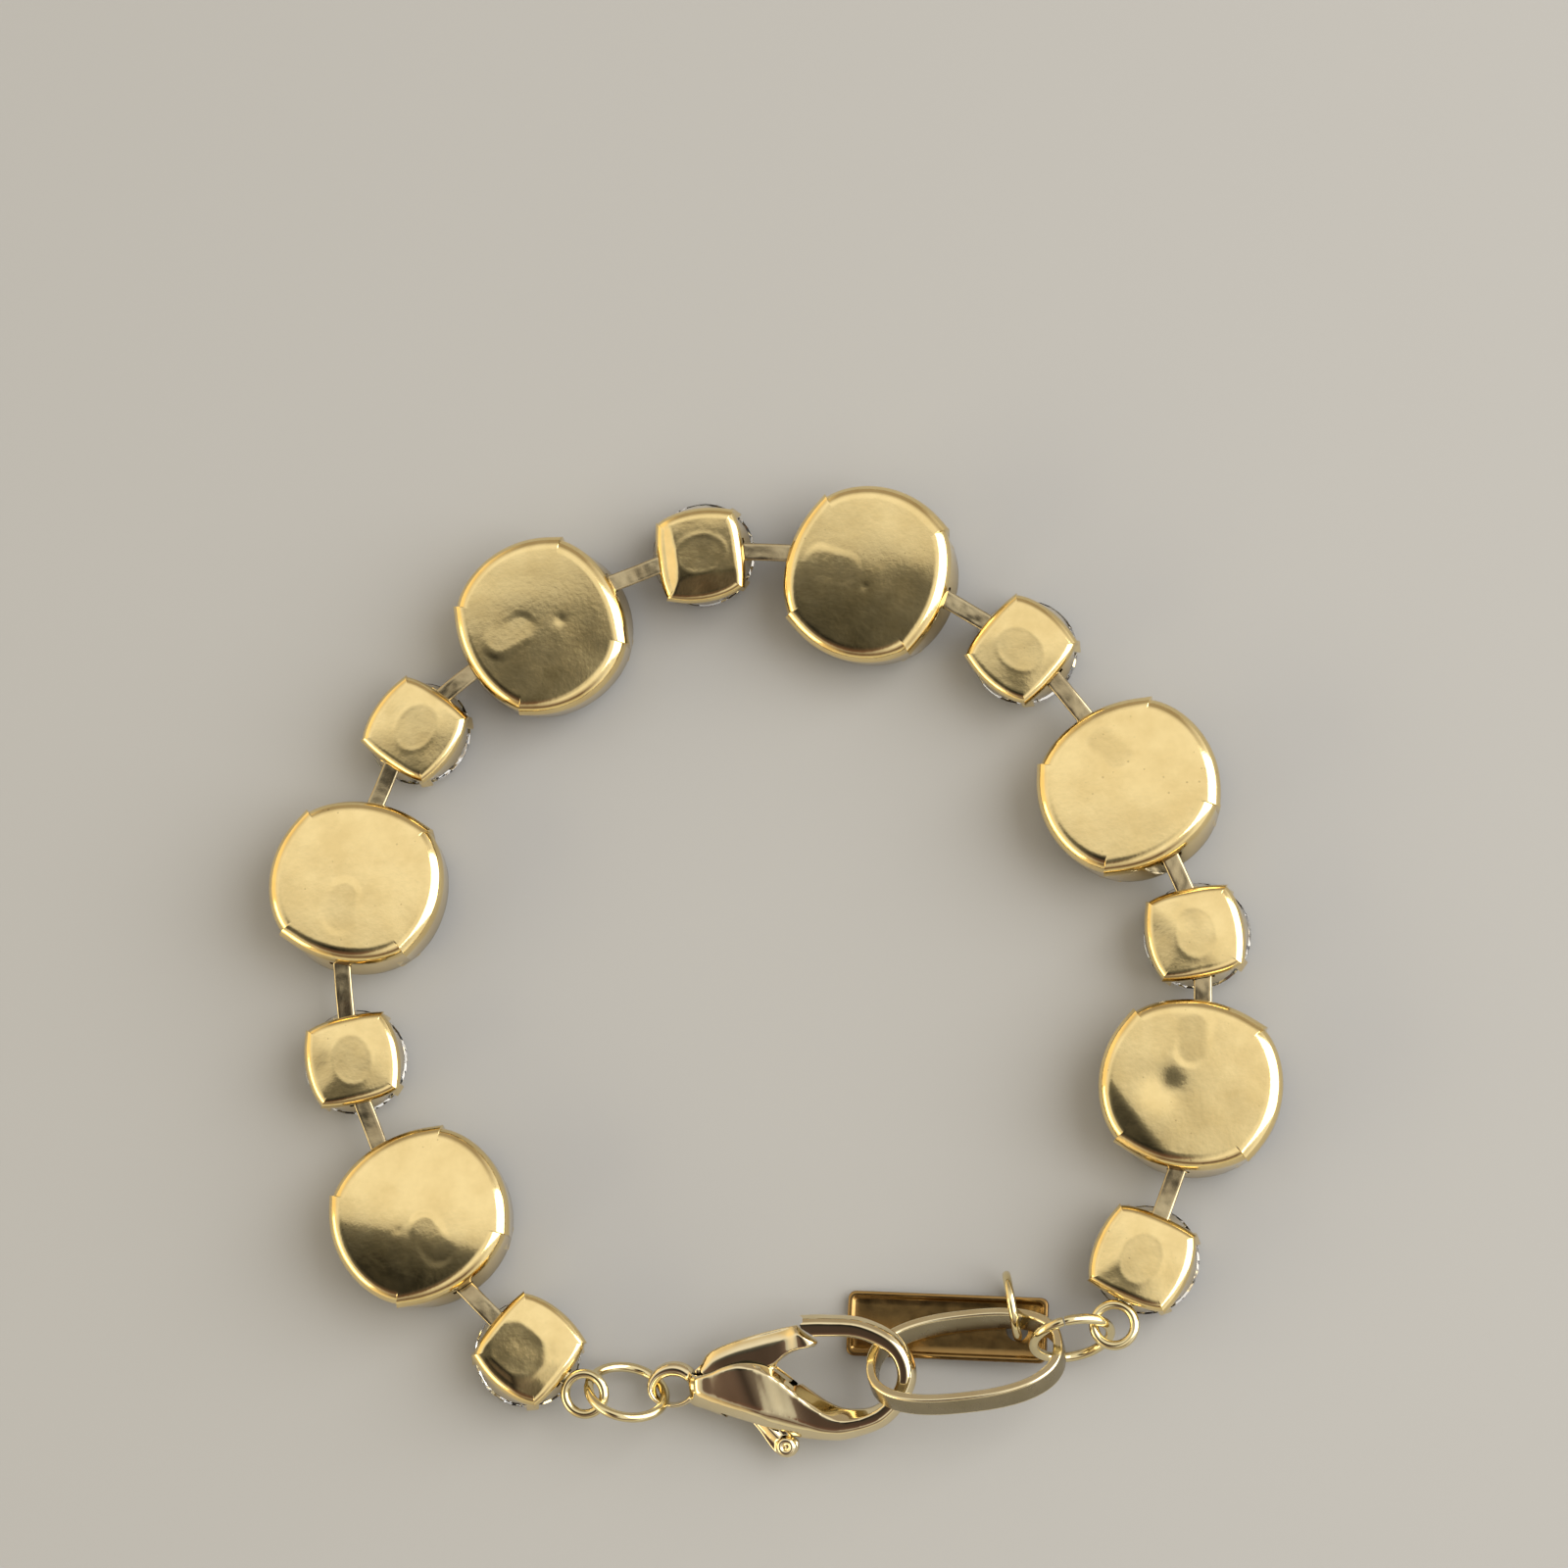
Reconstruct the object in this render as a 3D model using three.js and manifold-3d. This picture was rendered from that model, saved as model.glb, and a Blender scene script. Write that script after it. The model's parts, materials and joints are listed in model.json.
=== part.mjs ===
// A cup-chain bracelet, closed on its lobster clasp and lying with its stones down and its metal
// backs up. Large round settings alternate with small square ones on flat strips. Millimetres,
// +Z up. The finished group is shifted so that its origin is the bottom centre of its box.
import * as THREE from 'three';
import { mergeVertices } from 'three/addons/utils/BufferGeometryUtils.js';
import Module from 'manifold-3d';

const wasm = await Module();
wasm.setup();

// ---------- driving dimensions ----------

// A setting is a pressed cup with its closed back up. "along" runs with the chain, "across" at
// right angles to it. The four corners of the back are where the prongs start.
const LARGE = {
  size: 'large',
  stoneRadius: 5.45,
  tableRadius: 3.3,
  crownHeight: 1.35,
  pavilionDepth: 3.1,
  height: 5.3,
  halfAlong: 5.45,
  halfAcross: 5.85,
  corner: 6.0,
  rimRadius: 5.9,
  rimHeight: 1.5,
  prongWidth: 1.8,
  prongTop: 2.6,
  prongReach: 1.0,
};
const SMALL = {
  size: 'small',
  stoneRadius: 3.65,
  tableRadius: 2.2,
  crownHeight: 1.0,
  pavilionDepth: 2.2,
  height: 4.7,
  halfAlong: 2.85,
  halfAcross: 3.05,
  corner: 3.5,
  rimRadius: 3.5,
  rimHeight: 2.0,
  prongWidth: 1.4,
  prongTop: 3.2,
  prongReach: 0.85,
};
const SHEET = 0.35; // thickness of the pressed metal
const EDGE = 0.3; // rounding of the back's edge
const GIRDLE = 0.2; // height of a stone's girdle
const STONE_GAP = 0.1; // between a stone and its prongs
// A prong stands a little proud of the cup's rim, turns in just above the girdle, and thins
// towards its tip, as a share of the sheet's thickness.
const PRONG = { proud: 0.05, bendAboveGirdle: 0.2, insideAboveGirdle: 0.1, tipShare: 0.8 };
const CUP_SIDES = 24;
const STONE_SIDES = 16;

// The flat strip between two cups, with a wider head inside each.
const STRIP = { width: 1.2, thickness: 0.28, headWidth: 1.9, headLength: 0.4 };
const SLOT = { width: 1.6, height: 0.5, depth: 1.4, z: 3.9 };
const HEAD_SETBACK = 0.4; // from the wall's inner face to the head

// The chain, cup after cup from the clasp's left end. heading and pitch lead to the next cup,
// and leanX and leanY tip the back towards +X and +Y, all in degrees and millimetres.
const CHAIN_START = { x: -16.6, y: -38.4 };
const CHAIN = [
  { cup: SMALL, heading: 130, pitch: 11.7, leanX: 4, leanY: 2 },
  { cup: LARGE, heading: 114, pitch: 11.5, leanX: 2, leanY: 1 },
  { cup: SMALL, heading: 90, pitch: 11.9, leanX: 1, leanY: 1 },
  { cup: LARGE, heading: 69, pitch: 11.4, leanX: 2, leanY: 3 },
  { cup: SMALL, heading: 40, pitch: 11.2, leanX: -1, leanY: 1 },
  { cup: LARGE, heading: 22, pitch: 11.9, leanX: 1, leanY: -3 },
  { cup: SMALL, heading: -8, pitch: 11.6, leanX: 0, leanY: -3 },
  { cup: LARGE, heading: -29, pitch: 11.9, leanX: -1, leanY: -3 },
  { cup: SMALL, heading: -54, pitch: 12.0, leanX: -2, leanY: 0 },
  { cup: LARGE, heading: -67, pitch: 10.6, leanX: -2, leanY: 3 },
  { cup: SMALL, heading: -93, pitch: 9.9, leanX: -1, leanY: 1 },
  { cup: LARGE, heading: -106, pitch: 11.8, leanX: 0, leanY: 0 },
  { cup: SMALL, heading: -122, pitch: 0, leanX: -1, leanY: 1 },
];
const FIRST_HEADING = 152; // of the first cup's free side, turned back into the chain

// Round wire rings: radius to the wire's middle, and the wire's own radius.
// An end ring is soldered to a tongue that narrows to a share of the strip's width.
const END_RING = { radius: 1.33, wire: 0.32, clearance: 0.15, tongueTaper: 0.8 };
const JUMP_RING = { radius: 2.55, wire: 0.3 };
const TAG_RING = { radius: 2.05, wire: 0.29 };

// The long link is a flat band bent to an oval: squareness is 2 for an ellipse and more for a
// fuller one, and fullness is 1 for a section with sharp corners.
const LINK = {
  halfLength: 6.2,
  halfWidth: 3.4,
  band: 1.6,
  thickness: 0.62,
  squareness: 2.5,
  fullness: 0.75,
};

// The tag is a plain plate with a raised rim and a hole at one end.
const TAG = { length: 13.4, width: 4.3, thickness: 0.55, rim: 0.35, recess: 0.15, corner: 0.5 };
const TAG_HOLE = { radius: 0.75, fromEnd: 2.0 };

// Clasp, in its own frame: origin in the eye, +X towards the hook's bend, +Z out of its face.
const EYE = { outer: 1.38, hole: 0.98, thickness: 0.7 };
const CLASP_SLOT = 1.3; // opening between the two cheeks
const LEVER_THICKNESS = 1.1;
const PIVOT = { x: 3.3, y: 0.2, radius: 0.4, clearance: 0.06, blindDepth: 0.4 };
// Stations of the body from the eye, round the bend, to the nose.
const BODY_STATIONS = [
  { x: 1.2, y: 0.1, width: 1.6, thickness: 0.85 },
  { x: 2.6, y: -0.05, width: 2.3, thickness: 2.2 },
  { x: 4.7, y: -0.1, width: 3.8, thickness: 3.1 },
  { x: 7.0, y: -0.6, width: 4.2, thickness: 3.1 },
  { x: 9.3, y: -1.7, width: 3.1, thickness: 2.7 },
  { x: 12.1, y: -2.3, width: 2.05, thickness: 2.0 },
  { x: 14.4, y: -1.75, width: 1.5, thickness: 1.75 },
  { x: 15.9, y: -0.2, width: 1.15, thickness: 1.6 },
  { x: 16.2, y: 1.4, width: 1.1, thickness: 1.6 },
  { x: 15.35, y: 3.0, width: 1.2, thickness: 1.6 },
  { x: 13.3, y: 4.0, width: 1.3, thickness: 1.6 },
  { x: 11.0, y: 4.2, width: 1.4, thickness: 1.6 },
  { x: 9.0, y: 4.17, width: 1.45, thickness: 1.6 },
];
// The lever seen from above: gate arm at the top, heel by the eye, thumb tab below. A row is the
// next corner, and viaX and viaY are the control point of a curved edge that ends there.
const LEVER_OUTLINE = [
  { x: 1.95, y: 1.35 },
  { x: 9.0, y: 4.25, viaX: 4.2, viaY: 3.5 },
  { x: 9.3, y: 3.85 },
  { x: 10.35, y: 3.1 },
  { x: 10.15, y: 2.8 },
  { x: 7.1, y: 1.5, viaX: 8.2, viaY: 2.65 },
  { x: 7.0, y: -1.7, viaX: 5.9, viaY: 0.4 },
  { x: 8.75, y: -3.4 },
  { x: 7.7, y: -4.45, viaX: 8.9, viaY: -4.5 },
  { x: 6.4, y: -3.0, viaX: 7.1, viaY: -4.2 },
  { x: 3.4, y: -0.7, viaX: 5.2, viaY: -1.2 },
  { x: 1.95, y: 1.35, viaX: 2.2, viaY: -0.5 },
];
// What is cut off the end of the hook, so that the lever's stepped tip closes on it.
const NOSE_CUT = [
  { x: 7.6, y: 5.6 },
  { x: 8.85, y: 5.2 },
  { x: 9.45, y: 4.1 },
  { x: 10.6, y: 3.35 },
  { x: 11.2, y: 2.9 },
  { x: 7.6, y: 2.4 },
];
const CUT_DEPTH = 3; // of the cuts that go right through the clasp
const LEVER_SWING = 20; // degrees that the lever opens inwards
const SWING_GAP = 0.15; // between the lever's sweep and the slot's edges

// How the loose pieces lie: x, y, z of the middle, then rotations in degrees.
const CLASP_PLACE = { x: -7.5, y: -40.95, z: 2.1, rise: 5, roll: 11 };
const LEFT_JUMP_PLACE = { x: -10.1, y: -41.05, z: 2.9, heading: -3, slope: 20, roll: -48 };
const RIGHT_JUMP_PLACE = { x: 19.45, y: -37.8, z: 3.5, heading: 14, slope: -1, roll: 67 };
const LINK_PLACE = { x: 12.55, y: -39.25, z: 3.95, heading: 5.5, slope: -3, roll: -36 };
const TAG_PLACE = { x: 11.0, y: -36.85, z: 0.85, heading: -3, slope: -4, roll: 0 };
const TAG_RING_PLACE = { x: 15.45, y: -35.6, z: 2.35, heading: -80, slope: 0, roll: 85 };

// ---------- solids ----------

const radians = THREE.MathUtils.degToRad;

/** The manifold solid of a closed geometry, with its faces turned outwards. */
function solidOf(geometry) {
  const bare = geometry.clone();
  bare.deleteAttribute('normal');
  bare.deleteAttribute('uv');
  const merged = mergeVertices(bare, 1e-4);
  const index = merged.index.array;
  const triangles = [];
  for (let i = 0; i < index.length; i += 3) {
    const [a, b, c] = [index[i], index[i + 1], index[i + 2]];
    if (a !== b && b !== c && c !== a) triangles.push(a, b, c);
  }
  const build = (triVerts) => new wasm.Manifold(new wasm.Mesh({
    numProp: 3,
    vertProperties: new Float32Array(merged.attributes.position.array),
    triVerts: new Uint32Array(triVerts),
  }));
  const solid = build(triangles);
  return solid.volume() > 0 ? solid : build(triangles.reverse());
}

/** The geometry of a manifold solid. */
function geometryOf(solid) {
  const mesh = solid.getMesh();
  const geometry = new THREE.BufferGeometry();
  geometry.setAttribute('position', new THREE.BufferAttribute(mesh.vertProperties, 3));
  geometry.setIndex(new THREE.BufferAttribute(mesh.triVerts, 1));
  geometry.computeVertexNormals();
  return geometry;
}

/** A box centred on the origin, moved to a place. */
function boxAt(width, depth, height, x, y, z) {
  const box = new THREE.BoxGeometry(width, depth, height);
  box.translate(x, y, z);
  return solidOf(box);
}

/** An outline extruded to a thickness, centred on its own plane. */
function plate(shape, thickness, curveSegments = 6) {
  const options = { depth: thickness, bevelEnabled: false, curveSegments };
  const geometry = new THREE.ExtrudeGeometry(shape, options);
  geometry.translate(0, 0, -thickness / 2);
  return solidOf(geometry);
}

/** A profile turned about Z, from points given as [radius, height]. */
function turned(points, sides) {
  const profile = points.map(([radius, height]) => new THREE.Vector2(radius, height));
  const geometry = new THREE.LatheGeometry(profile, sides);
  geometry.rotateX(Math.PI / 2);
  return geometry;
}

// ---------- settings and stones ----------

/** Distance from a cup's middle to the edge of its back, bulged between four corners. */
function backRadius(cup, angle) {
  const side = Math.round(angle / (Math.PI / 2));
  const offset = (angle - side * (Math.PI / 2)) / (Math.PI / 4);
  const middle = side % 2 === 0 ? cup.halfAlong : cup.halfAcross;
  return middle + (cup.corner - middle) * offset * offset;
}

/** Height of a line that lies parallel to the crown, "offset" outside it, at a radius. */
function crownLine(cup, radius, offset) {
  const slope = cup.crownHeight / (cup.stoneRadius - cup.tableRadius);
  const drop = offset * Math.hypot(1, slope);
  return cup.crownHeight - (cup.stoneRadius - radius) * slope - drop;
}

/** One prong: down the wall, past the girdle and folded over the crown. */
function prong(cup, angle) {
  const inner = cup.stoneRadius + STONE_GAP;
  const outer = Math.max(inner + SHEET, cup.rimRadius + PRONG.proud);
  const tip = inner - cup.prongReach;
  const girdleTop = cup.crownHeight + GIRDLE;
  const shape = new THREE.Shape([
    new THREE.Vector2(cup.rimRadius - SHEET, cup.prongTop),
    new THREE.Vector2(cup.rimRadius, cup.prongTop),
    new THREE.Vector2(outer, girdleTop + PRONG.bendAboveGirdle),
    new THREE.Vector2(outer, crownLine(cup, outer, STONE_GAP + SHEET)),
    new THREE.Vector2(tip, crownLine(cup, tip, STONE_GAP + SHEET * PRONG.tipShare)),
    new THREE.Vector2(tip, crownLine(cup, tip, STONE_GAP)),
    new THREE.Vector2(inner, crownLine(cup, inner, STONE_GAP)),
    new THREE.Vector2(inner, girdleTop + PRONG.insideAboveGirdle),
  ]);
  const options = { depth: cup.prongWidth, bevelEnabled: false };
  const geometry = new THREE.ExtrudeGeometry(shape, options);
  geometry.rotateX(Math.PI / 2);
  geometry.translate(0, cup.prongWidth / 2, 0);
  geometry.rotateZ(angle);
  return solidOf(geometry);
}

/** A setting, back up, with its stone's table at z = 0, the chain along X and a slot each way. */
function cupSolid(cup) {
  const ceiling = cup.height - SHEET;
  const geometry = turned([
    [0, cup.height],
    [cup.corner - EDGE, cup.height],
    [cup.corner, cup.height - EDGE],
    [cup.rimRadius, cup.rimHeight],
    [cup.rimRadius - SHEET, cup.rimHeight],
    [cup.corner - SHEET, ceiling - EDGE / 2],
    [cup.corner - SHEET - EDGE / 2, ceiling],
    [0, ceiling],
  ], CUP_SIDES);
  const position = geometry.attributes.position;
  for (let i = 0; i < position.count; i += 1) {
    const angle = Math.atan2(position.getY(i), position.getX(i));
    const rise = (position.getZ(i) - cup.rimHeight) / (cup.height - EDGE - cup.rimHeight);
    const squareness = THREE.MathUtils.clamp(rise, 0, 1);
    const factor = THREE.MathUtils.lerp(1, backRadius(cup, angle) / cup.corner, squareness);
    position.setX(i, position.getX(i) * factor);
    position.setY(i, position.getY(i) * factor);
  }
  let solid = solidOf(geometry);
  for (const quarter of [1, 3, 5, 7]) {
    solid = solid.add(prong(cup, quarter * Math.PI / 4));
  }
  for (const side of [-1, 1]) {
    const cut = boxAt(SLOT.depth, SLOT.width, SLOT.height, side * cup.halfAlong, 0, SLOT.z);
    solid = solid.subtract(cut);
  }
  return solid;
}

/** A round stone, table down: crown, girdle and pavilion. */
function stoneGeometry(cup) {
  return geometryOf(solidOf(turned([
    [0, 0],
    [cup.tableRadius, 0],
    [cup.stoneRadius, cup.crownHeight],
    [cup.stoneRadius, cup.crownHeight + GIRDLE],
    [0, cup.crownHeight + GIRDLE + cup.pavilionDepth],
  ], STONE_SIDES)));
}

// ---------- strips and rings ----------

/** The strip's outline between two slots "length" apart, with a head past each. */
function stripShape(length) {
  const neck = length / 2 + SHEET / 2 + HEAD_SETBACK;
  const end = neck + STRIP.headLength;
  const half = STRIP.width / 2;
  const head = STRIP.headWidth / 2;
  return new THREE.Shape([
    [-end, -head], [-neck, -head], [-neck, -half], [neck, -half], [neck, -head], [end, -head],
    [end, head], [neck, head], [neck, half], [-neck, half], [-neck, head], [-end, head],
  ].map(([x, y]) => new THREE.Vector2(x, y)));
}

/** A round wire ring about Z. */
function ringGeometry(ring, sides = 8, steps = 24) {
  return new THREE.TorusGeometry(ring.radius, ring.wire, sides, steps);
}

/** An end ring on its short tongue: the tongue's slot is at the origin, the ring out along +X. */
function endRingSolid(roll) {
  const reach = SHEET / 2 + END_RING.clearance + END_RING.radius + END_RING.wire;
  const ring = ringGeometry(END_RING);
  ring.rotateX(radians(roll));
  ring.translate(reach, 0, 0);
  const neck = SHEET / 2 + HEAD_SETBACK;
  const end = neck + STRIP.headLength;
  const half = STRIP.width / 2;
  const head = STRIP.headWidth / 2;
  const tongueEnd = reach - END_RING.radius;
  const tongue = new THREE.Shape([
    [-end, -head], [-neck, -head], [-neck, -half], [tongueEnd, -half * END_RING.tongueTaper],
    [tongueEnd, half * END_RING.tongueTaper], [-neck, half], [-neck, head], [-end, head],
  ].map(([x, y]) => new THREE.Vector2(x, y)));
  return solidOf(ring).add(plate(tongue, STRIP.thickness));
}

/** The long link: a ring bent so that its middle line is an oval and its section a flat band. */
function linkGeometry() {
  const guideRadius = 2;
  const geometry = new THREE.TorusGeometry(guideRadius, 1, 8, 36);
  const position = geometry.attributes.position;
  const power = (value) => Math.sign(value) * Math.abs(value) ** (2 / LINK.squareness);
  const oval = (angle) => new THREE.Vector2(
    LINK.halfLength * power(Math.cos(angle)), LINK.halfWidth * power(Math.sin(angle)));
  const step = 0.01;
  for (let i = 0; i < position.count; i += 1) {
    const angle = Math.atan2(position.getY(i), position.getX(i));
    const out = Math.hypot(position.getX(i), position.getY(i)) - guideRadius;
    const up = position.getZ(i);
    const flat = Math.max(Math.abs(out), Math.abs(up));
    const swell = LINK.fullness / flat + 1 - LINK.fullness;
    const middle = oval(angle);
    const along = oval(angle + step).sub(oval(angle - step)).normalize();
    const radial = out * swell * (LINK.thickness / 2);
    position.setX(i, middle.x + along.y * radial);
    position.setY(i, middle.y - along.x * radial);
    position.setZ(i, up * swell * (LINK.band / 2));
  }
  return geometry;
}

// ---------- clasp ----------

/** A cylinder bent along stations, with its section scaled to each width and thickness. */
function bentBar(stations, sides, steps) {
  const middle = new THREE.CatmullRomCurve3(
    stations.map((s) => new THREE.Vector3(s.x, s.y, 0)), false, 'centripetal');
  const size = new THREE.CatmullRomCurve3(
    stations.map((s, i) => new THREE.Vector3(s.width, s.thickness, i)), false, 'catmullrom', 0.5);
  const geometry = new THREE.CylinderGeometry(1, 1, 1, sides, steps);
  const position = geometry.attributes.position;
  for (let i = 0; i < position.count; i += 1) {
    const along = THREE.MathUtils.clamp(position.getY(i) + 0.5, 0, 1);
    const point = middle.getPoint(along);
    const tangent = middle.getTangent(along);
    const section = size.getPoint(along);
    const sideways = position.getX(i) * section.x / 2;
    position.setXYZ(i,
      point.x - tangent.y * sideways,
      point.y + tangent.x * sideways,
      position.getZ(i) * section.y / 2);
  }
  return solidOf(geometry);
}

/** An outline through the rows of a table, with curved edges where a row gives a control point. */
function outline(rows) {
  const shape = new THREE.Shape();
  shape.moveTo(rows[0].x, rows[0].y);
  for (const { x, y, viaX, viaY } of rows.slice(1)) {
    if (viaX === undefined) shape.lineTo(x, y);
    else shape.quadraticCurveTo(viaX, viaY, x, y);
  }
  return shape;
}

/** The area that the lever needs between the cheeks, from closed to open. */
function leverSweep() {
  const grow = (solid) => {
    let grown = solid;
    for (const [dx, dy] of [[1, 0], [-1, 0], [0, 1], [0, -1]]) {
      grown = grown.add(solid.translate([dx * SWING_GAP, dy * SWING_GAP, 0]));
    }
    return grown;
  };
  const blank = grow(plate(outline(LEVER_OUTLINE), CLASP_SLOT, 4));
  let sweep = blank;
  for (const part of [0.25, 0.5, 0.75, 1]) {
    const turn = blank.translate([-PIVOT.x, -PIVOT.y, 0]).rotate([0, 0, -LEVER_SWING * part]);
    sweep = sweep.add(turn.translate([PIVOT.x, PIVOT.y, 0]));
  }
  return sweep;
}

/** A cylinder on the lever's pivot: the pin itself, or a hole for it. */
function pinSolid(radius, length) {
  const pin = new THREE.CylinderGeometry(radius, radius, length, 12);
  pin.rotateX(Math.PI / 2);
  pin.translate(PIVOT.x, PIVOT.y, 0);
  return solidOf(pin);
}

/** The cast body: eye, slotted cheeks, hook and nose. */
function claspBodySolid() {
  const bar = bentBar(BODY_STATIONS, 10, 34);
  const eyeShape = new THREE.Shape();
  eyeShape.absarc(0, 0, EYE.outer, 0, Math.PI * 2);
  const hole = new THREE.Shape();
  hole.absarc(0, 0, EYE.hole, 0, Math.PI * 2);
  return bar
    .add(plate(eyeShape, EYE.thickness, 10))
    .subtract(plate(hole, CUT_DEPTH, 8))
    .subtract(plate(outline(NOSE_CUT), CUT_DEPTH))
    .subtract(leverSweep())
    .subtract(pinSolid(PIVOT.radius + PIVOT.clearance, CLASP_SLOT + PIVOT.blindDepth * 2));
}

// ---------- tag ----------

/** A rectangle with round corners, centred on the origin. */
function roundedRectangle(length, width, corner) {
  const shape = new THREE.Shape();
  const [x, y] = [length / 2 - corner, width / 2 - corner];
  shape.absarc(x, y, corner, 0, Math.PI / 2);
  shape.absarc(-x, y, corner, Math.PI / 2, Math.PI);
  shape.absarc(-x, -y, corner, Math.PI, Math.PI * 1.5);
  shape.absarc(x, -y, corner, Math.PI * 1.5, Math.PI * 2);
  return shape;
}

/** The tag, face up, with a shallow recess inside its rim. */
function tagSolid() {
  const inner = roundedRectangle(
    TAG.length - TAG.rim * 2, TAG.width - TAG.rim * 2, TAG.corner - TAG.rim / 2);
  const hole = new THREE.CylinderGeometry(TAG_HOLE.radius, TAG_HOLE.radius, CUT_DEPTH, 12);
  hole.rotateX(Math.PI / 2);
  hole.translate(TAG.length / 2 - TAG_HOLE.fromEnd, 0, 0);
  const recess = plate(inner, TAG.thickness, 3);
  return plate(roundedRectangle(TAG.length, TAG.width, TAG.corner), TAG.thickness, 3)
    .subtract(recess.translate([0, 0, TAG.thickness - TAG.recess]))
    .subtract(solidOf(hole));
}

// ---------- assembly ----------

const bracelet = new THREE.Group();

const GOLD = { color: 0xd9bd7c, roughness: 0.3, metalness: 1 };
const BRIGHT_GOLD = { color: 0xe0c072, roughness: 0.15, metalness: 1 };
const CRYSTAL = { color: 0xf2f6f8, roughness: 0.03, metalness: 0 };

function addMesh(parent, name, geometry, finish) {
  const mesh = new THREE.Mesh(geometry, new THREE.MeshStandardMaterial(finish));
  mesh.name = name;
  parent.add(mesh);
  return mesh;
}

/** Lays a mesh out: roll about its own X, then its slope, then its heading. */
function place(mesh, { x, y, z, heading, slope, roll }) {
  mesh.rotation.set(radians(roll), radians(slope), radians(heading), 'ZYX');
  mesh.position.set(x, y, z);
}

/** Adds a cup and its stone at a point, resting on z = 0, and returns their group. */
function addSetting(link, number, x, y, turn) {
  const group = new THREE.Group();
  const { size } = link.cup;
  addMesh(group, `${size}_cup_${number}`, geometryOf(cupSolid(link.cup)), GOLD);
  addMesh(group, `${size}_stone_${number}`, stoneGeometry(link.cup), CRYSTAL);
  const spin = new THREE.Quaternion();
  spin.setFromAxisAngle(new THREE.Vector3(0, 0, 1), radians(turn));
  const leaned = new THREE.Euler(radians(-link.leanY), radians(link.leanX), 0);
  group.quaternion.setFromEuler(leaned).multiply(spin);
  group.position.set(x, y, 0);
  bracelet.add(group);
  group.updateMatrixWorld(true);
  group.position.z -= new THREE.Box3().setFromObject(group, true).min.z;
  group.updateMatrixWorld(true);
  return group;
}

/** The middle of a cup's slot on one side, in the bracelet's frame. */
function slotMiddle(link, group, side) {
  const point = new THREE.Vector3(side * (link.cup.halfAlong - SHEET / 2), 0, SLOT.z);
  return group.localToWorld(point);
}

/** A frame whose X runs along a direction and whose Z is as near as it can be to "up". */
function frameAlong(origin, direction, up) {
  const x = direction.clone().normalize();
  const y = new THREE.Vector3().crossVectors(up, x).normalize();
  const z = new THREE.Vector3().crossVectors(x, y);
  return new THREE.Matrix4().makeBasis(x, y, z).setPosition(origin);
}

function upOf(group) {
  return new THREE.Vector3(0, 0, 1).applyQuaternion(group.quaternion);
}

// The settings, each turned half way between the strips on its two sides.
const settings = [];
const counts = { large: 0, small: 0 };
let cursor = new THREE.Vector2(CHAIN_START.x, CHAIN_START.y);
CHAIN.forEach((link, i) => {
  counts[link.cup.size] += 1;
  const arriving = i === 0 ? FIRST_HEADING : CHAIN[i - 1].heading;
  const turn = (arriving + link.heading) / 2;
  settings.push(addSetting(link, counts[link.cup.size], cursor.x, cursor.y, turn));
  const heading = radians(link.heading);
  cursor = new THREE.Vector2(
    cursor.x + link.pitch * Math.cos(heading), cursor.y + link.pitch * Math.sin(heading));
});

// The strips between neighbours.
for (let i = 0; i + 1 < CHAIN.length; i += 1) {
  const from = slotMiddle(CHAIN[i], settings[i], 1);
  const to = slotMiddle(CHAIN[i + 1], settings[i + 1], -1);
  const span = to.clone().sub(from);
  const strip = plate(stripShape(span.length()), STRIP.thickness);
  const mesh = addMesh(bracelet, `connector_${i + 1}`, geometryOf(strip), GOLD);
  const up = upOf(settings[i]).add(upOf(settings[i + 1]));
  const frame = frameAlong(from.add(to).multiplyScalar(0.5), span, up);
  mesh.applyMatrix4(frame);
}

// The end rings, straight out of the two end cups.
for (const { name, i, side, roll } of [
  { name: 'end_ring_left', i: 0, side: -1, roll: 14 },
  { name: 'end_ring_right', i: CHAIN.length - 1, side: 1, roll: 0 },
]) {
  const mesh = addMesh(bracelet, name, geometryOf(endRingSolid(roll)), GOLD);
  const out = new THREE.Vector3(side, 0, 0).applyQuaternion(settings[i].quaternion);
  mesh.applyMatrix4(frameAlong(slotMiddle(CHAIN[i], settings[i], side), out, upOf(settings[i])));
}

for (const [name, where] of [
  ['jump_ring_left', LEFT_JUMP_PLACE], ['jump_ring_right', RIGHT_JUMP_PLACE],
]) {
  place(addMesh(bracelet, name, ringGeometry(JUMP_RING), BRIGHT_GOLD), where);
}
place(addMesh(bracelet, 'tag_ring', ringGeometry(TAG_RING), BRIGHT_GOLD), TAG_RING_PLACE);
place(addMesh(bracelet, 'tag', geometryOf(tagSolid()), BRIGHT_GOLD), TAG_PLACE);
place(addMesh(bracelet, 'oval_link', linkGeometry(), BRIGHT_GOLD), LINK_PLACE);

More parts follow.
